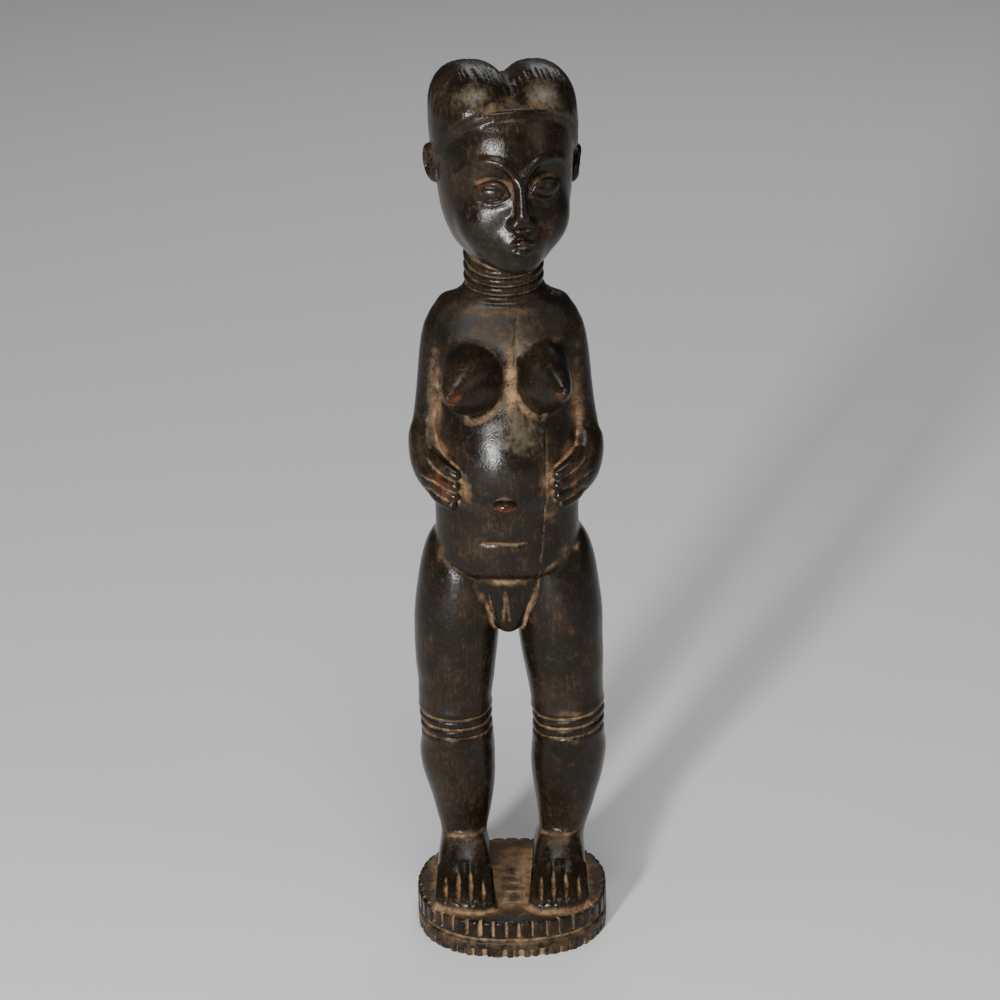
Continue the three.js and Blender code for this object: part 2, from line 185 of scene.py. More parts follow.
# A round form on a straight axis from root to tip. Each size: share of the way, half width, half height
def cone(root, tip, sizes):
    root, tip = np.array(root, float), np.array(tip, float)
    length = np.linalg.norm(tip - root)
    t = (tip - root) / length
    side = np.cross(t, (0, 0, 1))
    side /= np.linalg.norm(side)
    up = np.cross(side, t)
    reach = max(row[1] for row in sizes) + 6

    def shape(x, y, z):
        q = (x - root[0], y - root[1], z - root[2])
        along, u, v = (dot(q, axis) for axis in (t, side, up))
        share = np.clip(along / length, 0, 1)
        half, thick = np.moveaxis(readRows(sizes, share), -1, 0)
        d = ovalDistance((u, v), (half, thick)) * 0.8
        return smoothMax(d, np.maximum(-along, along - length), 0.8)

    return (np.minimum(root, tip) - reach, np.maximum(root, tip) + reach), shape


class Block:  # a grid of distances, which forms are joined to and cut from
    def __init__(self, low, high, step):
        self.low, self.step = np.array(low, float), step
        counts = np.ceil((np.array(high) - self.low) / step).astype(int) + 1
        self.axes = [self.low[k] + step * np.arange(counts[k]) for k in range(3)]
        self.far = np.full(counts, farAway, np.float32)

    def change(self, form, blend, lift, cut=False):
        (low, high), shape = form
        low, high = np.add(low, (0, 0, lift)), np.add(high, (0, 0, lift))
        part = tuple(slice(*np.searchsorted(a, ends)) for a, *ends in zip(self.axes, low, high))
        x, y, z = (a[p].astype(np.float32) for a, p in zip(self.axes, part))
        found = shape(x[:, None, None], y[None, :, None], z[None, None, :] - lift)
        old = self.far[part]
        self.far[part] = smoothMax(old, -found, blend) if cut else smoothMin(old, found, blend)

    def join(self, form, blend, lift=top):
        self.change(form, blend, lift)

    def cut(self, form, blend, lift=top):
        self.change(form, blend, lift, cut=True)


# Plinth

def plinthForm():
    radius, height, edge = plinth["radius"], plinth["height"], plinth["edge"]
    middle = (plinth["grooveLow"] + plinth["grooveHigh"]) / 2
    half = (plinth["grooveHigh"] - plinth["grooveLow"]) / 2

    def shape(x, y, z):
        r = np.sqrt(x**2 + y**2)
        angle = np.arctan2(y, x)
        uneven = 0.12 * np.sin(5 * angle + 1) + 0.1 * np.sin(11 * angle + 2.2)
        side = r - radius * (1 + plinth["squareness"] * np.sin(2 * angle) ** 2) + uneven
        groove = np.clip(1 - ((z - middle) / half) ** 2, 0, 1)
        side = side + plinth["grooveDepth"] * groove
        return smoothMax(side, np.maximum(-z, z - height), edge)

    reach = radius + 4
    return ((-reach, -reach, -4), (reach, reach, height + 4)), shape


# Legs and feet

leg = {
    "rows": [
        # height, left x, right x, middle y, half width, front, back
        (-3, -23.6, 24.6, 9, 11.5, 11.5, 12), (27.8, -23.6, 25.5, 9, 11.7, 12, 13),
        (36.7, -23.7, 26.6, 9, 13.6, 13.5, 15), (45.5, -24, 27.2, 8.5, 15.3, 15, 18),
        (54.2, -24.8, 27.8, 7.5, 17, 16, 20.5), (63, -25.7, 28.3, 6.5, 18.1, 17, 22),
        (72, -26, 28.9, 5, 18.4, 17.2, 21.6), (80.5, -25.8, 28.8, 3, 17.6, 17.4, 19),
        (89.6, -26.3, 28.7, 2, 16.9, 17.8, 17.5), (97, -26.5, 28.3, 2, 17.6, 18.4, 18.4),
        (102, -26.6, 28, 2, 17.9, 18.7, 19), (111, -26, 27.2, 2, 18.6, 19.5, 21),
        (119, -25.9, 26.6, 2, 19.4, 20.5, 22.5), (132.5, -25.4, 25.4, 3, 20.4, 21.5, 24),
        (147, -24.7, 24.8, 3, 20.8, 21.8, 26), (161, -23, 23.2, 3, 20.8, 21, 27),
        (174, -21, 21.4, 3, 20.4, 19, 26), (185, -19.6, 20, 3, 18, 15.5, 22),
        (194, -18.5, 19, 3, 12.5, 11, 16),
    ],
    "ringHeights": (84.5, 89.6, 94.9), "ringTilt": {-1: 0, 1: 0.09},
    "bandProud": 0.75, "bandHalf": 1.7, "ankle": (24.5, 8, 27.5), "ankleSize": (13, 13.5),
}

foot = {
    "middle": 23.4, "heel": 27, "tip": -36, "curl": 5.5, "inward": 0.3,
    # share of the way from heel to toes, half width, height
    "rows": [
        (0, 8, 14), (0.08, 11, 24), (0.28, 13, 29.5), (0.46, 13.4, 29), (0.6, 14, 20.4),
        (0.74, 14.9, 13.2), (0.88, 15.5, 8.6), (0.97, 15.2, 6.2), (1, 14.6, 4.4),
    ],
    "toes": (-0.8, -0.4, 0, 0.4, 0.8), "toeThick": 3.1,
    "grooves": (-0.6, -0.2, 0.2, 0.6), "grooveStarts": (0.74, 0.7, 0.69, 0.75),
}


def legRows(side):
    return [(z, left if side < 0 else right, *rest) for z, left, right, *rest in leg["rows"]]


def legForm(side):
    low, middle, high = leg["ringHeights"]

    def swell(dx, z):  # two bands between the three rings, and the flesh pressed out past them
        level = z - leg["ringTilt"][side] * dx
        bands = 0
        for ring in ((low + middle) / 2, (middle + high) / 2):
            bands = bands + np.exp(-(((level - ring) / leg["bandHalf"]) ** 4))
        thigh = 0.5 * np.exp(-(((level - high - 2.6) / 2) ** 2))
        calf = 0.3 * np.exp(-(((level - low + 2.4) / 1.8) ** 2))
        return leg["bandProud"] * bands + thigh + calf

    return column(legRows(side), swell)


def footForm(side):
    span = foot["tip"] - foot["heel"]

    def shape(x, y, z):
        dx = x - side * foot["middle"]
        share = np.clip((y - foot["heel"]) / span, 0, 1)
        curl = foot["curl"] * np.clip(side * dx / 15 + foot["inward"], -2, 2) ** 2
        share = (y - foot["heel"]) / (span + curl * np.clip(share, 0, 1) ** 2)
        half, high = np.moveaxis(readRows(foot["rows"], np.clip(share, 0, 1)), -1, 0)
        over = np.sqrt(np.abs(dx / half) ** 2.4 + np.clip(z / high, 0, 2) ** 3.6 + 1e-6)
        d = (over - 1) * np.minimum(half, high) * 0.8
        ends = np.maximum(-share, share - 1) * abs(span)
        return smoothMax(d, np.maximum(ends, -3 - z), 2)

    x, reach = side * foot["middle"], 22
    return ((x - reach, -42, -6), (x + reach, 34, 36)), shape


def onFoot(side, across, share):  # a point on the foot's upper face
    half, high = readRows(foot["rows"], np.array(share))
    curl = foot["curl"] * (across + foot["inward"]) ** 2
    y = foot["heel"] + (foot["tip"] - foot["heel"] + curl) * share
    z = high * (1 - min(abs(across), 0.97) ** 2.4) ** 0.28
    return np.array([side * (foot["middle"] + across * half), y, z])


def toeForms(side):
    for across in foot["toes"]:
        thick = foot["toeThick"]
        points = [onFoot(side, across * 0.94, s) - (0, 0, thick - 0.5) for s in (0.62, 0.76, 0.88, 0.965)]
        points[-1][2] = 2.2
        yield limb(points, [(0, thick, thick * 0.8), (0.6, thick, thick), (1, thick * 0.96, thick)], count=7)


# Trunk

trunk = {
    "rows": [
        (139.4, 5.5, 12, 7), (142, 8.5, 13.6, 12), (147, 11.8, 15, 18), (153, 15.5, 16, 24),
        (161, 21, 17.2, 28),
        (168, 27, 18.8, 31), (170.5, 29.4, 20.4, 31.2), (172.5, 30.8, 23.4, 31.6), (175, 32.2, 25.4, 31.6),
        (183, 34, 27, 31), (190, 34.3, 27.3, 28.5), (197, 34.3, 27.4, 24.5),
        (204, 34.4, 28, 21.5), (208, 34.5, 29, 20.4), (211, 34.7, 31, 19.8), (215, 34.9, 33, 19.2),
        (222, 35, 33.9, 18.8), (231, 35, 33.6, 18.8), (241, 34.5, 31.5, 19.5), (251, 34, 28, 20.5),
        (261, 34, 24.5, 21.8), (272, 34.5, 22.6, 22.8), (280, 35, 21.8, 22.8), (287, 35.2, 20.8, 21.8),
        (294, 34.2, 19, 20), (300, 31.5, 17.2, 18.5), (306, 27.5, 15.8, 17.5), (311, 20.5, 15, 17),
        (316, 16, 14, 16.5),
    ],
    "navel": ((-0.9, -33.2, 213.6), (5.6, 4.4, 3.1)),
    "buttock": ((19, 13, 166), (21.5, 23.5, 27)),
}

breasts = {
    "axes": [((-9.5, -8, 271.5), (-26.4, -41, 271), 1), ((12.5, -8, 272), (27.6, -41, 272.5), 0.9)],
    "sizes": [(0, 15, 18.4), (0.3, 14.7, 18.1), (0.5, 13, 15.8), (0.7, 10, 12), (0.87, 6.6, 7.6),
              (0.96, 4.2, 4.6), (1, 2.4, 2.4)],
    "nipple": (2.4, 2.6, 2.3), "blend": 2.5, "crease": (15.6, 18.6),
}

arm = {
    "upper": [(21, 2.5, 305), (29.4, 2.8, 290), (32, 3.5, 276), (33.4, 4, 262), (34.8, 3.8, 247),
              (37.2, 2, 234)],
    "upperSizes": [(0, 8, 10), (0.12, 8.7, 11.2), (0.3, 8.9, 11.3), (0.55, 8.6, 10.5), (0.85, 9, 10.6),
                   (1, 9, 10.6)],
    "fore": [(36.6, 6, 242), (37.3, -2, 233), (35.6, -10, 225), (31.8, -17, 219)],
    "foreDrop": {-1: 0, 1: 3.5},
    "shoulder": {-1: 0, 1: -0.8},
    "foreSizes": [(0, 9, 10), (0.3, 9.2, 12.2), (0.7, 8.6, 10.4), (1, 7, 9.4)],
    "palm": [(37.4, -6, 227.5), (34.6, -13.5, 224.5), (29.4, -19.6, 221), (25, -24, 218)],
    "palmSizes": [(0, 8.5, 5.2), (0.5, 9, 5.8), (1, 8.4, 4.8)],
    "fingers": [((35, -13, 233.6), (22.2, -27.4, 226)), ((36.6, -12, 227.6), (22.2, -27.8, 220.6)),
                ((37, -11.5, 221.8), (22.9, -27.3, 215.4)), ((36.2, -11, 216.4), (24.3, -26, 210.5))],
    "fingerArch": (1.6, -2.2, 0.4), "fingerSizes": [(0, 3, 3), (0.7, 3, 3), (1, 2.7, 2.7)],
}


def mirrored(side, points):
    return [(side * x, y, z) for x, y, z in points]


def fingerPath(side, k):
    knuckle, tip = (np.array(p) for p in mirrored(side, arm["fingers"][k]))
    arch = (knuckle + tip) / 2 + np.array(mirrored(side, [arm["fingerArch"]])[0])
    return [knuckle, arch, tip]


# Neck, head and hair

neck = {"middle": (0, 2), "radius": 18.6, "low": 299, "high": 336,
        "rings": 5, "ringFrom": 303.6, "frontPitch": 4.2, "sidePitch": 5.3, "ringDeep": 0.65}
headTurn = 12.0
headRows = [
    # height, half width, front, back
    (325, 8, 26, 14), (329, 16, 31.4, 18), (335, 22.5, 34.4, 23), (342, 26.5, 35.6, 28), (350, 29.2, 36, 32),
    (360, 30.8, 36, 35.5), (372, 31.6, 35.5, 37.5), (384, 32.2, 34.4, 37.5), (394, 31.2, 32, 35.5),
    (402, 28, 27, 31), (406, 21.5, 19.5, 24), (409, 12, 9, 14),
]
hair = {
    "proud": 1.4, "mark": (-33, 406), "fall": 45,  # the mark is where its edge stands in front, y and z
    "masses": [((-14.6, 0.5, 396.5), (19, 29.6, 22.9)), ((16.6, 0.5, 395.6), (17, 29.6, 22)),
               ((1, 1.5, 392.5), (12, 29, 17))],
    "power": 2.4, "blend": 3.5,
}
face = {"brow": 0.643, "eyes": 0.512, "noseBase": 0.31, "mouth": 0.208, "chin": 0.083}  # shares of the head
ear = {
    "out": {-1: 33, 1: 34.6}, "back": 4, "heights": {-1: 372.5, 1: 367.5},
    "size": (3.8, 5.6, 9.5), "lean": 10, "hollow": (2.2, 3.2, 6),
}


def turnHead(x, y, by):
    cx, cy = neck["middle"]
    a = radians(by)
    return (cx + (x - cx) * cos(a) - (y - cy) * sin(a),
            cy + (x - cx) * sin(a) + (y - cy) * cos(a))


def turned(form):  # a form drawn on the straight head, turned with it
    (low, high), shape = form
    corners = np.array([turnHead(x, y, headTurn) for x in (low[0], high[0]) for y in (low[1], high[1])])
    low2, high2 = np.r_[corners.min(0), low[2]], np.r_[corners.max(0), high[2]]
    return (low2, high2), lambda x, y, z: shape(*turnHead(x, y, -headTurn), z)


def headColumn(proud=0.0):
    return column([(z, 0, -2, *(size + proud for size in sizes)) for z, *sizes in headRows])


def onFace(aside, share, rise=0.0, proud=0.0):
    z = headRows[0][0] + (headRows[-1][0] - headRows[0][0]) * share + rise
    half, front, _ = readRows(headRows, np.array(z))
    return np.array([aside * half, -2 - front * sqrt(1 - aside**2) - proud, z])


def ringPitch(y):  # the rings of the neck stand closer in front
    back = np.clip((y - neck["middle"][1]) / neck["radius"] + 1, 0, 1)
    return neck["frontPitch"] + (neck["sidePitch"] - neck["frontPitch"]) * back


def neckForm():
    cx, cy = neck["middle"]
    low, high = neck["low"], neck["high"]

    def shape(x, y, z):
        r = np.sqrt((x - cx) ** 2 + (y - cy) ** 2)
        phase = (z - neck["ringFrom"]) / ringPitch(y)
        ring = np.abs(np.sin(np.pi * phase)) ** 0.8 * (phase > 0) * (phase < neck["rings"])
        side = r - neck["radius"] + 0.9 - neck["ringDeep"] * 2 * ring
        return np.maximum(side, np.maximum(low - z, z - high))

    reach = neck["radius"] + 6
    return ((cx - reach, cy - reach, low - 3), (cx + reach, cy + reach, high + 3)), shape


def hairForm():
    masses = [egg(at, size, power=hair["power"]) for at, size in hair["masses"]]
    under = headColumn(hair["proud"])
    (y0, z0), slope = hair["mark"], radians(hair["fall"])

    def shape(x, y, z):
        d = under[1](x, y, z)
        for _, mass in masses:
            d = smoothMin(d, mass(x, y, z), hair["blend"])
        return smoothMax(d, -((y - y0) * sin(slope) + (z - z0) * cos(slope)), 1.2)

    return ((-42, -42, 320), (42, 46, 424)), shape


def hairlinePoints():  # where the hair's edge crosses the skin of the head
    points = []
    heights = np.linspace(335, 408, 400)
    y0, z0 = hair["mark"]
    for angle in np.radians(np.linspace(-104, 104, 60)):
        half, front, back = readRows(headRows, heights).T
        deep = front if abs(angle) < pi / 2 else back
        x, y = half * sin(angle), -2 - deep * cos(angle)
        gap = (y - y0) * tan(radians(hair["fall"])) + (heights - z0)
        k = int(np.argmax(gap > 0))
        points.append((x[k], y[k], heights[k]))
    return points


def faceForms(block):
    def join(form, blend):
        block.join(turned(form), blend)

    def cut(form, blend):
        block.cut(turned(form), blend)

    # a raised line over the face: share across, rise and how proud for each of its points
    def arc(side, height, places, sizes, blend):
        path = [onFace(side * a, height, rise, proud) for a, rise, proud in places]
        join(limb(path, sizes, across=(0, 0, 1)), blend)

    brow, eyes, nose, mouth = (face[name] for name in ("brow", "eyes", "noseBase", "mouth"))
    for side in (-1, 1):
        join(egg(onFace(side * 0.5, 0.31, 0, -9.6), (10.5, 9.5, 12), turn=side * 24), 6)
    join(egg(onFace(0, mouth, 0.5, -5), (11, 7.4, 9)), 5)
    join(egg(onFace(0, face["chin"], 1.5, -5.6), (9.5, 8, 6.5)), 4)
    for side in (-1, 1):
        cut(egg(onFace(side * 0.41, eyes, 1.5, 2.4), (11, 4.8, 8), turn=side * 24), 3.5)
        arc(side, brow,
            [(0.04, -8, 0.2), (0.13, -1.6, 0), (0.34, 2.8, -0.4), (0.6, 1.6, -0.8), (0.84, -6.5, -1.4)],
            [(0, 1.3, 1.5), (0.45, 1.9, 1.9), (1, 0.9, 0.9)], 1.6)
        join(egg(onFace(side * 0.395, eyes, -0.4, -3.2), (7.4, 4.6, 4.4), turn=side * 22), 0.9)
        inner, outer = (0.16, -1.6, -0.7), (0.64, -0.9, -1.6)
        arc(side, eyes, [inner, (0.26, 2.6, 0.3), (0.42, 3.9, 0.5), (0.54, 2.4, -0.2), outer],
            [(0, 0.6, 0.6), (0.5, 1.25, 1.3), (1, 0.6, 0.6)], 0.5)
        arc(side, eyes, [inner, (0.28, -4, -0.1), (0.42, -4.9, 0), (0.54, -3.6, -0.7), outer],
            [(0, 0.5, 0.5), (0.5, 0.95, 0.95), (1, 0.5, 0.5)], 0.5)
    ridge = [onFace(0, brow, -4, -1.2), onFace(0, (brow + nose) / 2, 0, 0.8), onFace(0, nose, 3.4, 2.8)]
    join(limb(ridge, [(0, 2.4, 3), (0.5, 2.6, 3.4), (1, 3.6, 4.2)], count=10), 1.8)
    for side in (-1, 1):
        join(egg(onFace(side * 0.09, nose, 2, 0.2), (3.1, 4.2, 2.8), turn=side * 14), 2.6)
        cut(egg(onFace(side * 0.085, nose, -1, 2.4), (1, 1.4, 1)), 0.9)
    arc(1, mouth, [(-0.28, -0.2, 0.2), (-0.13, 1.5, 2.3), (-0.03, 2, 3), (0.03, 2, 3), (0.13, 1.5, 2.3),
                   (0.28, -0.2, 0.2)], [(0, 0.7, 0.7), (0.5, 1.7, 1.9), (1, 0.7, 0.7)], 0.5)
    arc(1, mouth, [(-0.25, -0.9, 0.2), (-0.1, -2.6, 2.2), (0, -2.9, 2.7), (0.1, -2.6, 2.2),
                   (0.25, -0.9, 0.2)], [(0, 0.7, 0.7), (0.5, 1.9, 2), (1, 0.7, 0.7)], 0.5)


# The figure, carved form by form. The last number of each call is how far the form blends into the rest.
def carveForms():
    block = Block((-49, -49, -2.6), (49, 49, 441.5), skinStep)
    block.join(plinthForm(), 0.5, lift=0)
    for side in (-1, 1):
        block.join(legForm(side), 0.5)
    block.join(column([(z, 0, 0, *sizes) for z, *sizes in trunk["rows"]]), 1.6)
    for side in (-1, 1):
        (x, y, z), size = trunk["buttock"]
        block.join(egg((side * x, y, z), size), 4)
    print("trunk and legs drawn")
    for side in (-1, 1):
        block.join(footForm(side), 1.6)
        for toe in toeForms(side):
            block.join(toe, 0.5)
    for root, tip, broad in breasts["axes"]:
        sizes = [(share, half * broad, high) for share, half, high in breasts["sizes"]]
        block.join(cone(root, tip, sizes), breasts["blend"])
        block.join(egg(tip, breasts["nipple"]), 2.2)
    block.join(egg(*trunk["navel"]), 0.8)
    for side in (-1, 1):
        upper = [(x + arm["shoulder"][side], y, z) for x, y, z in arm["upper"]]
        fore = [(x, y, z - arm["foreDrop"][side] * (1 - i / 3)) for i, (x, y, z) in enumerate(arm["fore"])]
        block.join(limb(mirrored(side, upper), arm["upperSizes"]), 2)
        block.join(limb(mirrored(side, fore), arm["foreSizes"]), 1.6)
        block.join(limb(mirrored(side, arm["palm"]), arm["palmSizes"], across=(0, 0, 1), count=8), 1.2)
        for k in range(len(arm["fingers"])):
            block.join(limb(fingerPath(side, k), arm["fingerSizes"], across=(0, 0, 1), count=7), 1.4)
    print("arms and feet drawn")
    block.join(neckForm(), 1.2)
    block.join(turned(headColumn()), 1)
    faceForms(block)
    block.join(turned(hairForm()), 2.6)
    for side in (-1, 1):
        x, y, z = side * ear["out"][side], ear["back"], ear["heights"][side]
        block.join(turned(egg((x, y, z), ear["size"], lean=side * ear["lean"])), 1.2)
        hollow = (x + side * 3, y - 1.6, z + 0.6)
        block.cut(turned(egg(hollow, ear["hollow"], lean=side * ear["lean"])), 0.8)
    print("head drawn")
    return block


block = carveForms()


def skinMesh(block):
    grid = openvdb.FloatGrid(farAway)
    grid.copyFromArray(block.far)
    points, quads = grid.convertToQuads(0)
    points = points * block.step + block.low
    mesh = bpy.data.meshes.new("skin")
    mesh.from_pydata(points.tolist(), [], quads.tolist())
    mesh.validate()
    return mesh


# Nodes: a small class wraps a socket so that maths can be written out, and one method adds any other node

def operators(operation):  # an operator and its reflected form
    return lambda a, b: a.maths(operation, a, b), lambda a, b: a.maths(operation, b, a)


class Socket:
    __add__, __radd__ = operators("ADD")
    __sub__, __rsub__ = operators("SUBTRACT")
    __mul__, __rmul__ = operators("MULTIPLY")
    __truediv__, __rtruediv__ = operators("DIVIDE")
    __pow__, __rpow__ = operators("POWER")
    most, _ = operators("MAXIMUM")
    least, _ = operators("MINIMUM")

    def __init__(self, graph, socket):
        self.graph, self.socket = graph, socket

    def __getitem__(self, name):  # another output of the same node
        return Socket(self.graph, self.socket.node.outputs[name])

    def maths(self, operation, a, b=0.0):
        return self.graph.add("ShaderNodeMath", {0: a, 1: b}, operation=operation)

    def rise(self, low, high):  # 0 below low, 1 above high, smooth between
        return self.graph.add("ShaderNodeMapRange", {"Value": self, "From Min": low, "From Max": high},
                              interpolation_type="SMOOTHSTEP")


class Graph:
    def __init__(self, tree):
        self.tree = tree

    def add(self, kind, values=None, out=0, **settings):
        node = self.tree.nodes.new(kind)
        for name, value in settings.items():
            setattr(node, name, value)
        for name, value in (values or {}).items():
            if isinstance(value, Socket):
                self.tree.links.new(value.socket, node.inputs[name])
            else:
                node.inputs[name].default_value = value
        return Socket(self, node.outputs[out] if len(node.outputs) else None)

    def scaled(self, vector, by):  # axis by axis
        return self.add("ShaderNodeVectorMath", {0: vector, 1: by}, operation="MULTIPLY")


def newTree(name, floats, others):  # the names of its inputs, and the kinds of those that aren't floats
    tree = bpy.data.node_groups.new(name, "GeometryNodeTree")
    floats = {label: "Float" for label in floats}
    for label, kind in {"Geometry": "Geometry", **others, **floats, "Material": "Material"}.items():
        tree.interface.new_socket(label, in_out="INPUT", socket_type="NodeSocket" + kind)
    tree.interface.new_socket("Geometry", in_out="OUTPUT", socket_type="NodeSocketGeometry")
    graph = Graph(tree)
    return graph, graph.add("NodeGroupInput")


def endTree(graph, start, geometry):
    real = graph.add("GeometryNodeRealizeInstances", {"Geometry": geometry})
    painted = graph.add("GeometryNodeSetMaterial", {"Geometry": real, "Material": start["Material"]})
    graph.add("NodeGroupOutput", {"Geometry": painted})
    return graph.tree


def addNodes(piece, tree, values):  # sets each input by its identifier
    modifier = piece.modifiers.new(tree.name, "NODES")
    modifier.node_group = tree
    for item in tree.interface.items_tree:
        if item.in_out == "INPUT" and item.name in values:
            modifier[item.identifier] = values[item.name]


def written(graph, name):
    return graph.add("GeometryNodeInputNamedAttribute", {"Name": name})


def dusted(graph, geometry, mask):  # keeps the dustier of the old value and the new one
    return graph.add("GeometryNodeStoreNamedAttribute", {
        "Geometry": geometry, "Name": "dust", "Value": written(graph, "dust").most(mask)})


def pushed(graph, start, by, direction=None):  # moves the skin, along its normal where nothing else is said
    way = direction or graph.add("GeometryNodeInputNormal")
    offset = graph.add("ShaderNodeVectorMath", {0: way, "Scale": by}, operation="SCALE")
    return graph.add("GeometryNodeSetPosition", {"Geometry": start["Geometry"], "Offset": offset})


def whereIs(graph):  # x, y, z and the distance from the upright axis
    x = graph.add("ShaderNodeSeparateXYZ", {0: graph.add("GeometryNodeInputPosition")})
    return x, x["Y"], x["Z"], x.maths("SQRT", x * x + x["Y"] * x["Y"])


# Cuts a groove along the lines of another object. A depth below zero raises a ridge instead.
def grooveTree():
    sizes = "Half Width", "Depth", "Roundness", "Dust"
    graph, start = newTree("groove along lines", sizes, {"Lines": "Object"})
    lines = graph.add("GeometryNodeObjectInfo", {"Object": start["Lines"]})["Geometry"]
    away = graph.add("GeometryNodeProximity", {0: lines}, target_element="EDGES")["Distance"]
    nearest = graph.add("GeometryNodeSampleNearest", {"Geometry": lines})
    press = graph.add("GeometryNodeSampleIndex", {
        "Geometry": lines, "Value": written(graph, "press"), "Index": nearest})
    width = start["Half Width"] * (0.45 + 0.55 * press)
    across = (away / width).least(1.0)
    profile = (1.0 - across ** start["Roundness"]) * press
    cut = pushed(graph, start, profile * start["Depth"] * -1.0)
    mask = (1.0 - (away / width).rise(0.35, 1.5)) * press * start["Dust"]
    return endTree(graph, start, dusted(graph, cut, mask))


# Cuts a ring of upright notches into the side of a round piece, each a little different
def notchTree():
    sizes = "Count", "Radius", "Low", "High", "Width", "Depth", "Unevenness", "Dust"
    graph, start = newTree("ring of notches", sizes, {"Seed": "Int"})
    x, y, z, radius = whereIs(graph)
    along = (x.maths("ARCTAN2", y, x) / (2 * pi) + 0.5) * start["Count"]
    number = x.maths("FLOOR", along)
    loose = [graph.add("FunctionNodeRandomValue", {
        2: -1.0, 3: 1.0, "ID": number, "Seed": start["Seed"] + k}, out=1) for k in range(3)]
    uneven = start["Unevenness"]
    middle = 0.5 + loose[0] * uneven * 0.3
    pitch = 2 * pi * start["Radius"] / start["Count"]
    away = x.maths("ABSOLUTE", along - number - middle) * pitch
    half = start["Width"] * 0.5 * (1.0 + loose[1] * uneven)
    groove = 1.0 - (away / half).rise(0.25, 1.0)
    inside = (z - start["Low"]).rise(-0.3, 0.5) * (1.0 - (z - start["High"]).rise(-0.3, 0.4))
    outer = (radius - start["Radius"]).rise(-4.5, -0.6)
    mask = groove * inside * outer * (1.0 + loose[2] * uneven * 0.5)
    inward = graph.add("ShaderNodeCombineXYZ", {"X": x / radius * -1.0, "Y": y / radius * -1.0})
    cut = pushed(graph, start, mask * start["Depth"], inward)
    return endTree(graph, start, dusted(graph, cut, mask * start["Dust"]))


bladeMarks = {"Height": 0.27, "Rough Side": 1.4, "Side Radius": plinth["radius"]}


# The slightly uneven skin that a blade leaves, and the plinth's rougher side, roughest at its foot
def handWorkedTree():
    graph, start = newTree("hand worked skin", bladeMarks, {})
    place = graph.add("GeometryNodeInputPosition")

    def noise(scale, detail, stretch=(1, 1, 1)):
        at = graph.scaled(place, stretch)
        return graph.add("ShaderNodeTexNoise", {"Vector": at, "Scale": scale, "Detail": detail}) - 0.5

    _, _, z, radius = whereIs(graph)
    side = (radius - start["Side Radius"]).rise(-3.0, 0.0) * (1.0 - z.rise(top - 1, top + 1))
    low = side * (1.0 - z.rise(7.0, 9.0))
    worked = noise(0.16, 2, (1, 1, 0.55)) * start["Height"] + noise(0.5, 3) * (start["Height"] * 0.35)
    rough = noise(0.35, 4, (1, 1, 0.5)) * start["Rough Side"] * (side * 0.35 + low)
    return endTree(graph, start, pushed(graph, start, worked + rough))


# Lines on the skin

chance = random.Random(7)
circle = np.linspace(0, 2 * pi, 100, endpoint=False)


def onSkin(path):  # the nearest points of the skin
    return [skinTree.find_nearest(Vector(p) + Vector((0, 0, top)))[0] for p in path]


def stepped(points, spacing):  # a smooth curve through the points
    length = np.linalg.norm(np.diff(np.array(points, float), axis=0), axis=1).sum()
    return alongCurve(points, max(6, int(length / spacing)))


class Lines:  # lines of one kind, each with the blade's pressure along it
    def __init__(self, name):
        self.name, self.points, self.edges, self.press = name, [], [], []

    def draw(self, points, press=1.0, taper=0.25, closed=False):
        first, n = len(self.points), len(points)
        steps = np.arange(n)
        self.points += [tuple(p) for p in points]
        self.edges += [(first + i, first + (i + 1) % n) for i in range(n if closed else n - 1)]
        ends = np.ones(n)
        if not closed:
            ends = np.clip(np.minimum(steps, steps[::-1]) / (n * taper + 0.1), 0.1, 1)
        turns = [chance.uniform(0, 2 * pi) for _ in range(3)]
        wave = sum(np.sin(steps * 2 * pi * k / n + turn) / k for k, turn in zip((2, 5, 9), turns))
        self.press += (press * np.sin(ends * pi / 2) * (1 + 0.16 * wave)).tolist()

    def follow(self, points, press=1.0, taper=0.25, spacing=0.8):  # over the skin nearest to a curve
        self.draw(onSkin(stepped(points, spacing)), press, taper)

    def asObject(self):
        mesh = bpy.data.meshes.new(self.name)
        mesh.from_pydata(self.points, self.edges, [])
        mesh.attributes.new("press", "FLOAT", "POINT").data.foreach_set("value", self.press)
        return placed(self.name, mesh)


def toeLines(lines):
    for side in (-1, 1):
        for across, start in zip(foot["grooves"], foot["grooveStarts"]):
            start += chance.uniform(-0.02, 0.02)
            path = [onFoot(side, across, s) for s in np.linspace(start, 0.985, 8)]
            path.append(onFoot(side, across, 0.995) * (1, 1, 0) + (0, -0.3, 1.6))
            lines.follow(path, chance.uniform(0.85, 1.15), taper=0.5, spacing=0.6)


def fingerLines(lines):
    for side in (-1, 1):
        paths = [alongCurve(fingerPath(side, k), 12) for k in range(4)]
        for one, other in zip(paths, paths[1:]):
            lines.follow((one + other) / 2, 0.75 if side > 0 else 1.0, spacing=0.5)


def kneeLines(lines):
    for side in (-1, 1):
        for ring in leg["ringHeights"]:
            cx, cy, half, front, back = readRows(legRows(side), np.array(ring))
            path = [(cx + half * cos(a), cy + (back if sin(a) > 0 else front) * sin(a),
                     ring + leg["ringTilt"][side] * half * cos(a)) for a in circle]
            lines.draw(onSkin(path), closed=True)


def neckLines(lines):
    cx, cy = neck["middle"]
    for k in range(neck["rings"] + 1):
        path = []
        for a in circle:
            y = cy + neck["radius"] * sin(a)
            path.append((cx + neck["radius"] * cos(a), y, neck["ringFrom"] + k * ringPitch(y)))
        lines.draw(onSkin(path), press=0.9, closed=True)


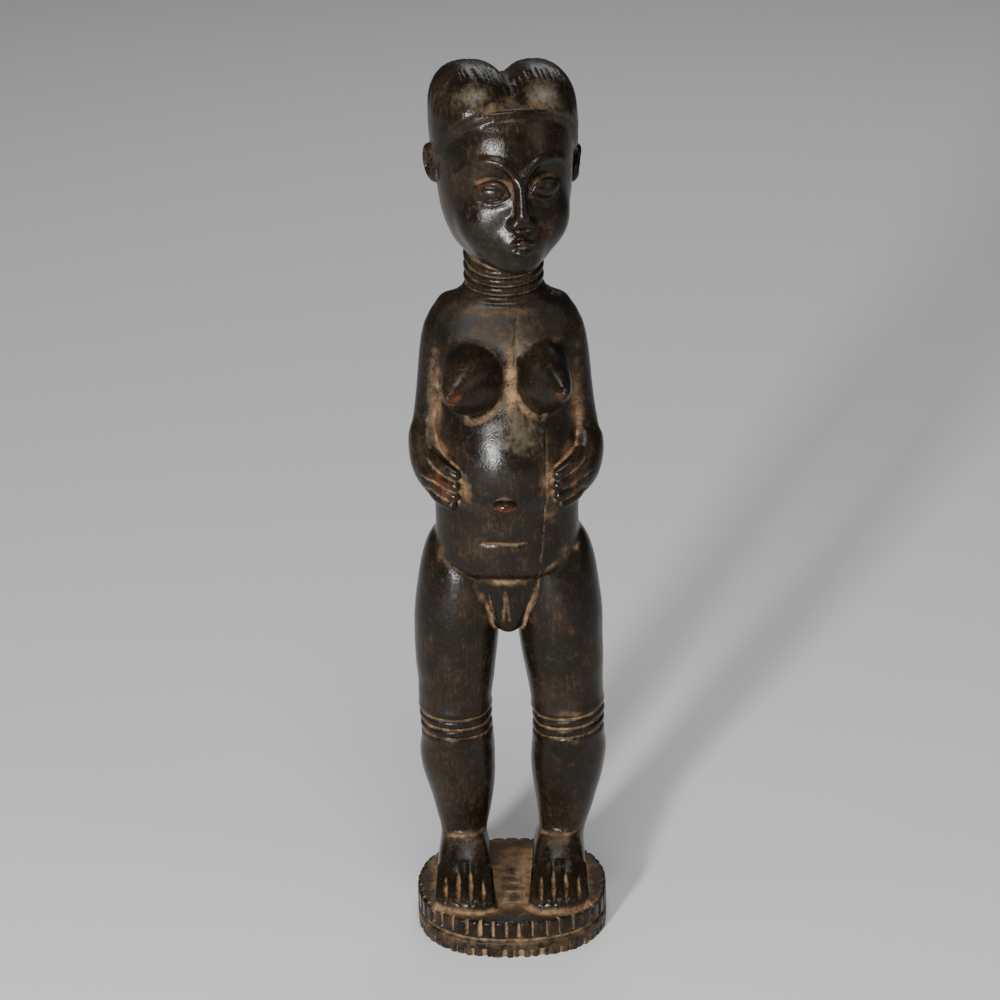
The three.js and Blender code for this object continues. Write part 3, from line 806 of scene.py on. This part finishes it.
def turnedPoint(p):
    x, y = turnHead(p[0], p[1], headTurn)
    return np.array([x, y, p[2]])


flutes = {
    "spacing": 2.4, "outerFall": (22, 44),
    # facing, degrees up at its two ends, share across from and to
    "rows": [("front", 82, 42, -0.9, 0.9), ("side", 70, 6, -0.45, 0.85), ("back", 80, 30, -0.88, 0.88)],
    # behind the head, the first two in degrees
    "backReach": 72, "backPitch": 4.2, "backRadius": 34, "backTop": 409,
}


def fluteLines(lines):  # combed forward over each lobe, outward at its side and back behind
    for side, (middle, size) in zip((-1, 1), hair["masses"]):
        for facing, high, low, from_, to in flutes["rows"]:
            wide, deep = (size[1], size[0]) if facing == "side" else (size[0], size[1])
            for u in np.arange(from_, to, flutes["spacing"] / wide) + chance.uniform(0, 0.06):
                u += chance.uniform(-0.35, 0.35) * flutes["spacing"] / wide
                bow = (1 - abs(u) ** hair["power"]) ** (1 / hair["power"])
                outer = max(0, side * u) if facing == "front" else 0
                high2 = high - flutes["outerFall"][0] * outer + chance.uniform(-8, 4)
                low2 = low - flutes["outerFall"][1] * outer + chance.uniform(-8, 8)
                path = []
                for rise in np.radians(np.linspace(high2, low2, 8)):
                    along, up = deep * bow * cos(rise), size[2] * bow * sin(rise)
                    x, y = {"front": (u * wide, -along), "back": (u * wide, along),
                            "side": (side * along, u * wide)}[facing]
                    path.append(turnedPoint([middle[0] + x, middle[1] + y, middle[2] + up]))
                lines.follow(path, chance.uniform(0.5, 1.1), taper=0.4)
    reach, radius = flutes["backReach"], flutes["backRadius"]
    for a in np.radians(np.arange(-reach, reach + 1, flutes["backPitch"])):
        x, y = radius * sin(a), radius * cos(a) - 1
        high = flutes["backTop"] + chance.uniform(-4, 4)
        low = sum(hair["mark"]) - y + chance.uniform(3, 8)  # the hair's edge, which falls at 45 degrees
        path = [turnedPoint([x + chance.uniform(-0.3, 0.3), y, z]) for z in np.linspace(high, low, 8)]
        lines.follow(path, chance.uniform(0.4, 0.8), taper=0.2)


def creaseLines(lines):  # under the breasts
    wide, high = breasts["crease"]
    for (root, tip, broad), side in zip(breasts["axes"], (-1, 1)):
        middle = np.array(root) * 0.6 + np.array(tip) * 0.4
        for start, end, press in ((-118, 100, 1.0), (116, 168, 0.6)):
            path = [middle + (wide * broad * sin(a), -1.5 - 3 * cos(a), -high * cos(a))
                    for a in np.radians(np.linspace(start, end, 15)) * -side]
            lines.follow(path, press)


def ankleLines(lines):  # across their fronts
    (x, y, z), (wide, deep) = leg["ankle"], leg["ankleSize"]
    for side in (-1, 1):
        path = [(side * x + wide * sin(a), y - deep * cos(a), z) for a in np.radians(np.linspace(-85, 85, 9))]
        lines.follow(path, taper=0.2)


def outlineLines(lines):  # dirt packed against the feet, down one side, round the toes and up the other
    shares = (0.35, 0.55, 0.75, 0.9)
    corners = [(-1, share) for share in shares] + [(across, 1) for across in (-0.7, -0.3, 0.1, 0.5, 0.8)]
    corners += [(1, share) for share in shares[::-1]]
    for side in (-1, 1):
        path = []
        for across, share in corners:
            x, y, _ = onFoot(side, across, share)
            path.append((x + side * across * 1.2, y - 1.4 * (share > 0.95), 0.4))
        lines.follow(path, taper=0.12)


def seamLines(lines):  # between the lips
    path = [turnedPoint(onFace(a, face["mouth"], rise, 4.5)) for a, rise in
            ((-0.24, -0.5), (-0.12, -0.3), (0, -0.7), (0.12, -0.3), (0.24, -0.5))]
    lines.follow(path, spacing=0.5)


def hairlineLines(lines):
    lines.follow([turnedPoint(p) for p in hairlinePoints()], taper=0.06)


def hairDustLines(lines):  # dirt held just above the hair's edge
    lines.draw([turnedPoint(p) + (0, 1.2, 3.4 + top) for p in hairlinePoints()], taper=0.1)


# Cuts drawn from the front: the blade's pressure, then points in x and z
frontCuts = {
    "belly fold": [(1.0, (-14, 191.4), (-6, 191.9), (3, 191.2), (12, 192.6))],
    "slit": [(1.0, (-1.3, 166), (-2.0, 155), (-3.0, 142)), (0.9, (-1.1, 164), (-0.3, 155), (0.9, 142.5))],
    "fine cuts": [(1.0, (-9.4, 164), (-8.6, 157), (-6.2, 148)), (0.8, (6.5, 164), (7, 152))],
    "crack": [(1.0, (19.3, 257), (18.5, 219), (17.6, 200), (15.8, 182), (13.8, 161)),
              (0.9, (5.4, 302), (5.0, 285), (4.5, 262)), (0.6, (17.4, 222), (16.9, 205), (17.2, 190))],
    "groins": [(0.8, (-34.6, 189), (-33.2, 183), (-30, 178), (-24, 174.4), (-17, 171.6)),
               (1.0, (36.5, 187), (33.6, 183), (27, 180.4), (20.4, 177), (16, 171.6)),
               (0.9, (-17.6, 170), (-14.4, 162), (-10.8, 154), (-7, 147.5), (-5.2, 143.5)),
               (0.9, (16.4, 170), (13.6, 162), (10.8, 154), (8, 147.5), (6.2, 143.5))],
}


def frontLines(lines):
    for press, *points in frontCuts[lines.name]:
        path = stepped([(x, 0, z) for x, z in points], 0.7)
        hits = [skinTree.ray_cast(Vector((x, -90, z + top)), Vector((0, 1, 0)))[0] for x, _, z in path]
        lines.draw([hit for hit in hits if hit is not None], press)


def plinthLines(lines):  # two rails, the rungs between them and two loose strokes, in x and y
    strokes = [((-5.2, 16), (-5.0, -30)), ((5.0, 18), (5.4, -28))]
    for y, lean in ((14, -0.5), (5, 0.6), (-4, -0.4), (-14, 0.5), (-25, 0)):
        strokes.append(((-4.6, y), (4.6, y + lean)))
    strokes += [((-1.6, 13), (-1.4, 6)), ((2.0, 4), (2.2, -3))]
    for a, b in strokes:
        path = [(a[0] + (b[0] - a[0]) * t, a[1] + (b[1] - a[1]) * t, 0) for t in np.linspace(0, 1, 5)]
        lines.follow(path, chance.uniform(0.6, 1))


# The finished skin: every cut and ridge is a modifier, then the faces are thinned

cuts = {
    # name: drawn by, half width, depth (below zero is a ridge), roundness, dust
    "toe grooves": (toeLines, 1.3, 1.3, 1.6, 1.0),
    "finger grooves": (fingerLines, 0.9, 0.6, 1.5, 0.9),
    "knee rings": (kneeLines, 0.95, 0.7, 1.6, 0.9),
    "neck rings": (neckLines, 0.9, 0.2, 1.5, 0.3),
    "hair flutes": (fluteLines, 0.78, 1.0, 1.3, 0.35),
    "hairline band": (hairlineLines, 2.0, -0.9, 2.4, 0.3),
    "hairline dirt": (hairDustLines, 3.8, 0.0, 2.0, 0.62),
    "belly fold": (frontLines, 1.3, 0.9, 1.4, 0.7),
    "slit": (frontLines, 1.05, 1.0, 1.3, 0.9),
    "fine cuts": (frontLines, 0.8, 0.5, 1.5, 0.7),
    "crack": (frontLines, 0.75, 0.7, 1.4, 0.85),
    "groins": (frontLines, 2.0, 0.35, 2.0, 0.7),
    "creases": (creaseLines, 2.1, 0.35, 1.8, 0.72),
    "ankle lines": (ankleLines, 1.4, 0.15, 1.8, 0.72),
    "foot outlines": (outlineLines, 3.0, 0.2, 1.6, 0.8),
    "seams": (seamLines, 0.45, 0.55, 1.2, 0.2),
    "ladder strokes": (plinthLines, 0.9, 0.6, 1.4, 1.0),
}


def carvedSkin():
    grooves, notches = grooveTree(), notchTree()
    piece = placed("carved_figure_skin", skin)
    addNodes(piece, handWorkedTree(), {**bladeMarks, "Material": wood})
    drawn = {name: Lines(name) for name in (*frontCuts, *cuts)}  # the front ones are drawn first
    for name, lines in drawn.items():
        cuts[name][0](lines)
    helpers = [piece]
    for name, (_, *sizes) in cuts.items():
        helpers.append(drawn[name].asObject())
        values = dict(zip(("Half Width", "Depth", "Roundness", "Dust"), sizes))
        addNodes(piece, grooves, {"Lines": helpers[-1], **values, "Material": wood})
    for row in plinth["notches"]:
        values = dict(zip(("Count", "Low", "High", "Width", "Depth", "Unevenness", "Seed"), row))
        addNodes(piece, notches, {"Radius": plinth["radius"], **values, "Dust": 0.9, "Material": wood})
    thin = piece.modifiers.new("thin the faces", "DECIMATE")
    thin.ratio = mostFaces / (2 * len(skin.polygons))
    print("carving", len(piece.modifiers), "steps")
    mesh = bpy.data.meshes.new_from_object(piece.evaluated_get(bpy.context.evaluated_depsgraph_get()))
    for thing in helpers:
        bpy.data.objects.remove(thing)
    return mesh


# Where dust lies, where hands have rubbed, and a pale film that in places is a painted sheen, kept as
# attributes of the skin

def readGrid(values, low, step, points):
    p = np.clip((points - low) / step, 0, np.array(values.shape) - 1.001)
    i = p.astype(int)
    f = p - i
    total = 0
    for k in range(8):
        corner = np.array([k & 1, k >> 1 & 1, k >> 2 & 1])
        weight = np.prod(np.where(corner, f, 1 - f), axis=1)
        total = total + weight * values[tuple((i + corner).T)]
    return total


def hollowness(points, reach):  # above 0 in a hollow, below 0 on a ridge
    step, pad = 2 * block.step, 8
    full = np.pad(np.clip(0.5 - block.far[::2, ::2, ::2] / step, 0, 1), pad)
    waves = [np.fft.fftfreq(n, step) for n in full.shape[:2]] + [np.fft.rfftfreq(full.shape[2], step)]
    soft = [np.exp(-2 * (pi * reach * w) ** 2) for w in waves]
    blurred = np.fft.rfftn(full) * soft[0][:, None, None] * soft[1][None, :, None] * soft[2]
    blurred = np.fft.irfftn(blurred, full.shape)
    return readGrid(blurred, block.low - pad * step, step, points) - 0.5


# Three for the middle, three half sizes and the strength. Heights are from the plinth's top.
dustPatches = [
    (2.5, -23, 270, 4.5, 9, 26, 0.9), (0, -25, 252, 9, 9, 5, 0.5), (3, -20, 291, 12, 9, 8, 0.45),
    (-4, -18, 296, 27, 10, 10, 0.42), (-33, -9, 258, 5, 9, 30, 0.8), (33.5, -9, 258, 5, 9, 30, 0.8),
    (-28, -15, 236, 7, 9, 5, 0.7), (28, -15, 236, 7, 9, 5, 0.7), (-24, -15, 290, 9, 9, 3.2, 0.4),
    (24, -15, 290, 8, 9, 3.2, 0.4), (-19, -28, 219, 3.5, 7, 12, 0.75), (19, -27, 221, 5, 8, 14, 0.8),
    (22, -25, 205, 8, 9, 8, 0.6), (-32, -12, 182, 3, 7, 8, 0.55), (30, -16, 182, 8, 7, 6, 0.7),
    (-1, -19, 168.8, 17, 7, 3.6, 0.85), (-9, -14, 147, 5, 6, 6, 0.45), (12, -14, 147, 4, 6, 6, 0.45),
    (-25, -3, 24, 15, 13, 7, 0.5), (25, -3, 24, 15, 13, 7, 0.5), (-24, -12, 16, 14, 10, 9, 0.35),
    (24, -12, 16, 14, 10, 9, 0.38), (-26, -10, 42, 17, 15, 14, 0.3), (26, -10, 42, 17, 15, 14, 0.3),
    (0, -14, 303.5, 24, 14, 3.5, 0.6), (1, -22, 404, 7, 11, 9, 0.62), (1, 10, 414, 6, 26, 8, 0.65),
    (-24, -19, 88, 17, 12, 10, 0.3), (28, -19, 88, 17, 12, 10, 0.36), (29, -19, 97.5, 12, 8, 2.4, 0.6),
    (-30, -17, 81.8, 10, 9, 2.6, 0.5), (31, -17, 82.4, 9, 9, 3.2, 0.55),
]
rubPatches = [
    (-25.5, -40, 270, 7, 7, 5, 0.58), (27, -40, 272, 6, 6, 5, 0.5), (23, -32, 273, 7, 9, 5, 0.4),
    (-0.9, -35, 211, 9, 7, 6, 0.7), (-22, -34, 268, 8, 9, 7, 0.55), (-18, -37, 350, 9, 8, 11, 0.5),
    (20, -30, 348, 8, 9, 11, 0.34), (4, -40, 376, 5, 6, 6, 0.5), (-12, -38, 371, 9, 6, 4, 0.45),
    (18, -34, 371, 9, 6, 4, 0.45), (5, -42, 345, 8, 6, 5, 0.4), (-28, -22, 221, 9, 9, 11, 0.6),
    (29, -22, 220, 9, 9, 11, 0.5), (-22, -22, 100, 16, 14, 14, 0.3), (26, -20, 70, 16, 16, 20, 0.35),
    (-26, -18, 150, 16, 16, 26, 0.3), (28, -18, 140, 14, 16, 22, 0.25), (8, -33, 226, 7, 6, 8, 0.3),
    (-22, -20, 68, 12, 14, 16, 0.3),
]
filmAndSheenPatches = [  # a thin pale film; on the hair's front lobes (the last two patches) it is a painted highlight, and in the belly's middle (the first) partly a painted sheen
    (4, -28, 247, 14, 9, 13, 0.9), (5, -20, 287, 9, 8, 7, 0.75), (-8, -18, 297, 20, 9, 9, 0.3),
    (-14, -30, 262, 10, 12, 10, 0.35), (6, -26, 197, 26, 14, 12, 0.3), (-10, -30, 245, 10, 9, 14, 0.3),
    # painted highlight: a pale sheen on the front of each front lobe of the hair
    (-13, -27, 411, 10, 12, 7, 0.85), (18, -25, 411, 12, 13, 8, 1.2),
]
mattePatches = [  # where the gloss is gone
    (-3, -16, 297, 30, 12, 12, 0.9), (-24, -18, 102, 18, 16, 9, 0.6), (26, -18, 102, 18, 16, 9, 0.6),
]
polishedPatches = [  # on the plinth's top
    (2, -45, 0, 30, 7, 6, 1.0), (0, -34, 0, 12, 5, 6, 0.45), (0, -19.5, 0, 3.4, 4.0, 6, 0.42),
    (0, -9, 0, 3.4, 3.4, 6, 0.36), (0, 0.5, 0, 3.4, 3.0, 6, 0.36), (0, 9.5, 0, 3.4, 3.0, 6, 0.36),
    (-43, -8, 0, 4, 22, 6, 0.7), (43, -4, 0, 4, 20, 6, 0.6), (-18, 36, 0, 16, 8, 6, 0.5),
    (16, 40, 0, 14, 6, 6, 0.6), (-12, 24, 0, 8, 10, 6, 0.25),
]


def gather(points, patches):
    total = np.zeros(len(points))
    for *place, strength in patches:
        middle, size = np.array(place[:3]) + (0, 0, top), np.array(place[3:])
        total = np.maximum(total, strength * np.exp(-(((points - middle) / size) ** 2).sum(1) ** 1.4))
    return total


wear = {
    "near": 1.8, "wide": 5.0,  # how far round a point its hollowness is judged
    "most": 0.82, "mostOnHead": 0.6, "headFrom": 330,  # dust held in hollows
    "plinthTop": 0.93, "polished": 0.83, "plinthSide": 0.26, "footing": 0.2, "groove": 0.5,
}


def markSkin(mesh):
    count = len(mesh.vertices)
    points, normals, dust = np.zeros(count * 3), np.zeros(count * 3), np.zeros(count)
    mesh.vertices.foreach_get("co", points)
    mesh.vertices.foreach_get("normal", normals)
    mesh.attributes["dust"].data.foreach_get("value", dust)
    points, normals = points.reshape(-1, 3), normals.reshape(-1, 3)
    z, radius = points[:, 2], np.hypot(points[:, 0], points[:, 1])
    near, wide = (hollowness(points, wear[reach]) for reach in ("near", "wide"))
    flat = np.clip((normals[:, 2] - 0.6) / 0.3, 0, 1) * (np.abs(z - top) < 2.5)
    side = (z < top - 0.5) * np.clip((radius - plinth["radius"] + 4) / 2, 0, 1)
    groove = np.clip(1 - np.abs(z - (plinth["grooveLow"] + plinth["grooveHigh"]) / 2) / 2.2, 0, 1)
    side = side * (wear["plinthSide"] + wear["footing"] * (z < plinth["grooveLow"]) + wear["groove"] * groove)
    most = np.where(z > wear["headFrom"] + top, wear["mostOnHead"], wear["most"])
    dust = np.maximum.reduce([
        dust, np.clip(near * 7 - 0.25, 0, most), np.clip(wide * 4.5 - 0.35, 0, 0.65), side,
        gather(points, dustPatches),
        flat * (wear["plinthTop"] - wear["polished"] * gather(points, polishedPatches))])
    dust = dust * (1 - np.clip(-near * 5 - 0.3, 0, 0.8) * (z > 12))  # rubbed off what stands proud
    rub = np.maximum(gather(points, rubPatches), np.clip(-near * 4 - 0.6, 0, 0.35))
    # the film is partly painted sheen: a painted highlight on the hair's front lobes and a broad sheen on the
    # belly
    filmAndSheen, matte = gather(points, filmAndSheenPatches), gather(points, mattePatches)
    for name, values in (("dust", dust), ("rub", rub), ("filmAndSheen", filmAndSheen), ("matte", matte)):
        kept = mesh.attributes.get(name) or mesh.attributes.new(name, "FLOAT", "POINT")
        kept.data.foreach_set("value", np.clip(values, 0, 1).astype(np.float32))
    return points


# Wood: a dark polished patina, red-brown where rubbed, tan dust in the hollows, and a pale film that in
# places is a painted sheen

def tone(*levels):  # a screen colour from 0 to 255, as the shader wants it
    levels = [level / 255 for level in levels]
    return (*(v / 12.92 if v < 0.039 else ((v + 0.055) / 1.055) ** 2.4 for v in levels), 1.0)


patina = {
    "dark": tone(20, 16, 10), "brown": tone(43, 32, 20), "rubbed": tone(112, 58, 31),
    # film: the colour of a pale film, which also serves as painted sheen on the hair's lobes and the belly
    "dust": tone(99, 77, 53), "paleDust": tone(148, 119, 88), "filmAndSheen": tone(104, 94, 77),
    "gloss": 0.23, "dustRoughness": 0.88,
    "bump": 0.75, "bumpDistance": 0.0005,  # the only length here in metres
    "ior": 1.45, "specular": 0.23,
}


def woodMaterial():
    material = bpy.data.materials.new("dark patinated wood")
    material.use_nodes = True
    tree = material.node_tree
    tree.nodes.clear()
    graph = Graph(tree)
    place = graph.add("ShaderNodeTexCoord")["Object"]

    def noise(size, detail, rough=0.55, along=1.0, warp=0.0):  # size of its lumps in millimetres
        return graph.add("ShaderNodeTexNoise", {
            "Vector": graph.scaled(place, (1000, 1000, 1000 / along)), "Scale": 1 / size, "Detail": detail,
            "Roughness": rough, "Distortion": warp})

    def mixed(factor, a, b):
        return graph.add("ShaderNodeMix", {0: factor, 6: a, 7: b}, out=2, data_type="RGBA")

    def kept(name):
        return graph.add("ShaderNodeAttribute", attribute_name=name)["Fac"]

    dust, rub, filmAndSheen, matte = (kept(name) for name in ("dust", "rub", "filmAndSheen", "matte"))
    cloud, mottle, grit = noise(22, 5), noise(5, 6, 0.65), noise(0.6, 3, 0.6)
    pore, scuff = noise(0.9, 2, 0.6), noise(1.7, 6, 0.65, along=1.7, warp=0.4)
    grain = noise(1.1, 5, 0.6, along=14, warp=0.3)
    streak = noise(0.45, 3, 0.5, along=40)
    brown = cloud.rise(0.42, 0.68) * 0.55 + mottle.rise(0.48, 0.7) * 0.45
    brown = brown * (0.55 + 0.45 * grain.rise(0.35, 0.62))
    colour = mixed(brown, patina["dark"], patina["brown"])
    worn = (rub * 1.5 + (mottle - 0.5) * 1.6 + (cloud - 0.5) * 0.8).rise(0.45, 1.15)
    colour = mixed(worn * (0.3 + 0.7 * rub) * (0.7 + 0.3 * grain.rise(0.3, 0.6)), colour, patina["rubbed"])
    # a pale haze over the patina; where the film attribute is high it is a painted sheen on the hair's front
    # lobes and the belly
    hazeAndSheen = filmAndSheen * 1.2 + (cloud - 0.5) * 0.9 + (mottle - 0.5) * 1.3 + (scuff - 0.5) - 0.3
    hazeAndSheen = hazeAndSheen.rise(0.1, 1.1) * 0.5
    colour = mixed(hazeAndSheen, colour, patina["filmAndSheen"])
    breakUp = (mottle - 0.5) * 2.2 + (grit - 0.5) * 1.5 + (cloud - 0.5) * 0.8
    lying = (dust * 1.15 + breakUp * (0.28 + 0.72 * dust) - 0.12).rise(0.2, 1.0)
    specks = (grit + (mottle - 0.5) * 0.8).rise(0.66, 0.8) * 0.25
    scratches = (scuff + (cloud - 0.5) * 0.4 + (grain - 0.5) * 0.5).rise(0.5, 0.8) * 0.19
    lying = lying.most(specks).most(scratches)
    pale = (mottle * 0.6 + grit * 0.4 + (dust - 0.8) * 0.7).rise(0.4, 0.68)
    colour = mixed(lying * 0.85, colour, mixed(pale, patina["dust"], patina["paleDust"]))

    shine = patina["gloss"] + (mottle - 0.5) * 0.25 + (streak - 0.5) * 0.12
    shine = shine + hazeAndSheen * 0.16 + matte * 0.4 - rub * 0.1
    roughness = shine + lying * (patina["dustRoughness"] - shine)
    height = grain * 0.05 + mottle * 0.08 + pore * 0.28 + scuff * 0.04 + lying * (grit * 0.35 + 0.15)
    bump = graph.add("ShaderNodeBump", {
        "Strength": patina["bump"], "Distance": patina["bumpDistance"], "Height": height})
    shader = graph.add("ShaderNodeBsdfPrincipled", {
        "Base Color": colour, "Roughness": roughness, "Normal": bump, "IOR": patina["ior"],
        "Specular IOR Level": patina["specular"]})
    graph.add("ShaderNodeOutputMaterial", {"Surface": shader})
    return material


wood = woodMaterial()
skin = skinMesh(block)
skinTree = BVHTree.FromPolygons([v.co for v in skin.vertices], [p.vertices for p in skin.polygons])
print("skin of", len(skin.polygons), "faces")
mesh = carvedSkin()
points = markSkin(mesh)
low, high = (np.array(corner) * 1000 for corner in cadBox)
margin = 0.02  # kept free inside the solid's box
points = np.clip(points, low + margin, high - margin) / 1000
mesh.vertices.foreach_set("co", points.ravel())
mesh.update()
mesh.shade_smooth()
mesh.name = "carvedFigure"
figure = placed("carved_wood", mesh)
print("figure of", sum(len(p.vertices) - 2 for p in mesh.polygons), "triangles")


# Floor, light and camera. Lengths are in metres from here on.

studio = {"paper": 0.82, "paperRoughness": 0.9, "sky": 0.8, "skyStrength": 0.11, "lampsAim": (0, 0, 0.22)}
lamps = [
    # name, degrees to the right of the camera, degrees up, metres away, width, height, watts
    ("key", -20, 9, 1.9, 0.15, 0.25, 58),
    ("above", 4, 63, 1.8, 0.6, 0.5, 13),
    ("right", 58, 20, 2.1, 0.8, 1.0, 4),
    ("left", -75, 25, 2.1, 0.8, 1.0, 3),
    ("behind", 170, 40, 2.2, 1.2, 0.8, 9),
]
view = {
    "lens": 132.19, "sensor": 36, "shiftX": -0.0069, "shiftY": 0.005,
    "place": (0, -1.6375, 0.865), "lookDown": 21.5, "roll": -0.8,
}


def grey(level):
    return (level, level, level, 1)


def layFloor():
    paper = bpy.data.materials.new("pale paper")
    paper.use_nodes = True
    inputs = paper.node_tree.nodes["Principled BSDF"].inputs
    inputs["Base Color"].default_value = grey(studio["paper"])
    inputs["Roughness"].default_value = studio["paperRoughness"]
    mesh = bpy.data.meshes.new("studioFloor")
    mesh.from_pydata([(-9, -9, 0), (9, -9, 0), (9, 9, 0), (-9, 9, 0)], [], [(0, 1, 2, 3)])
    mesh.materials.append(paper)
    return placed("studio_floor", mesh)


def hangLamps():
    for name, turn, rise, far, width, height, watts in lamps:
        light = bpy.data.lights.new(name, "AREA")
        light.shape, light.size, light.size_y, light.energy = "RECTANGLE", width, height, watts
        a, e = radians(turn), radians(rise)
        way = Vector((sin(a) * cos(e), -cos(a) * cos(e), sin(e)))
        lamp = placed(name, light)
        lamp.location = Vector(studio["lampsAim"]) + way * far
        lamp.rotation_euler = way.to_track_quat("Z", "Y").to_euler()


def setCamera():
    lens = bpy.data.cameras.new("camera")
    lens.lens, lens.sensor_width, lens.clip_start = view["lens"], view["sensor"], 0.05
    lens.shift_x, lens.shift_y = view["shiftX"], view["shiftY"]
    camera = placed("camera", lens)
    tilt, roll = radians(90 - view["lookDown"]), radians(view["roll"])
    camera.matrix_world = (Matrix.Translation(view["place"]) @ Matrix.Rotation(tilt, 4, "X")
                           @ Matrix.Rotation(roll, 4, "Z"))
    bpy.context.scene.camera = camera


def setSky():
    world = bpy.data.worlds.new("studio")
    world.use_nodes = True
    inputs = world.node_tree.nodes["Background"].inputs
    inputs["Color"].default_value = grey(studio["sky"])
    inputs["Strength"].default_value = studio["skyStrength"]
    bpy.context.scene.world = world


floor = layFloor()
hangLamps()
setCamera()
setSky()
print("studio ready")

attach(figure, "root")
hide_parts("carved_figure")
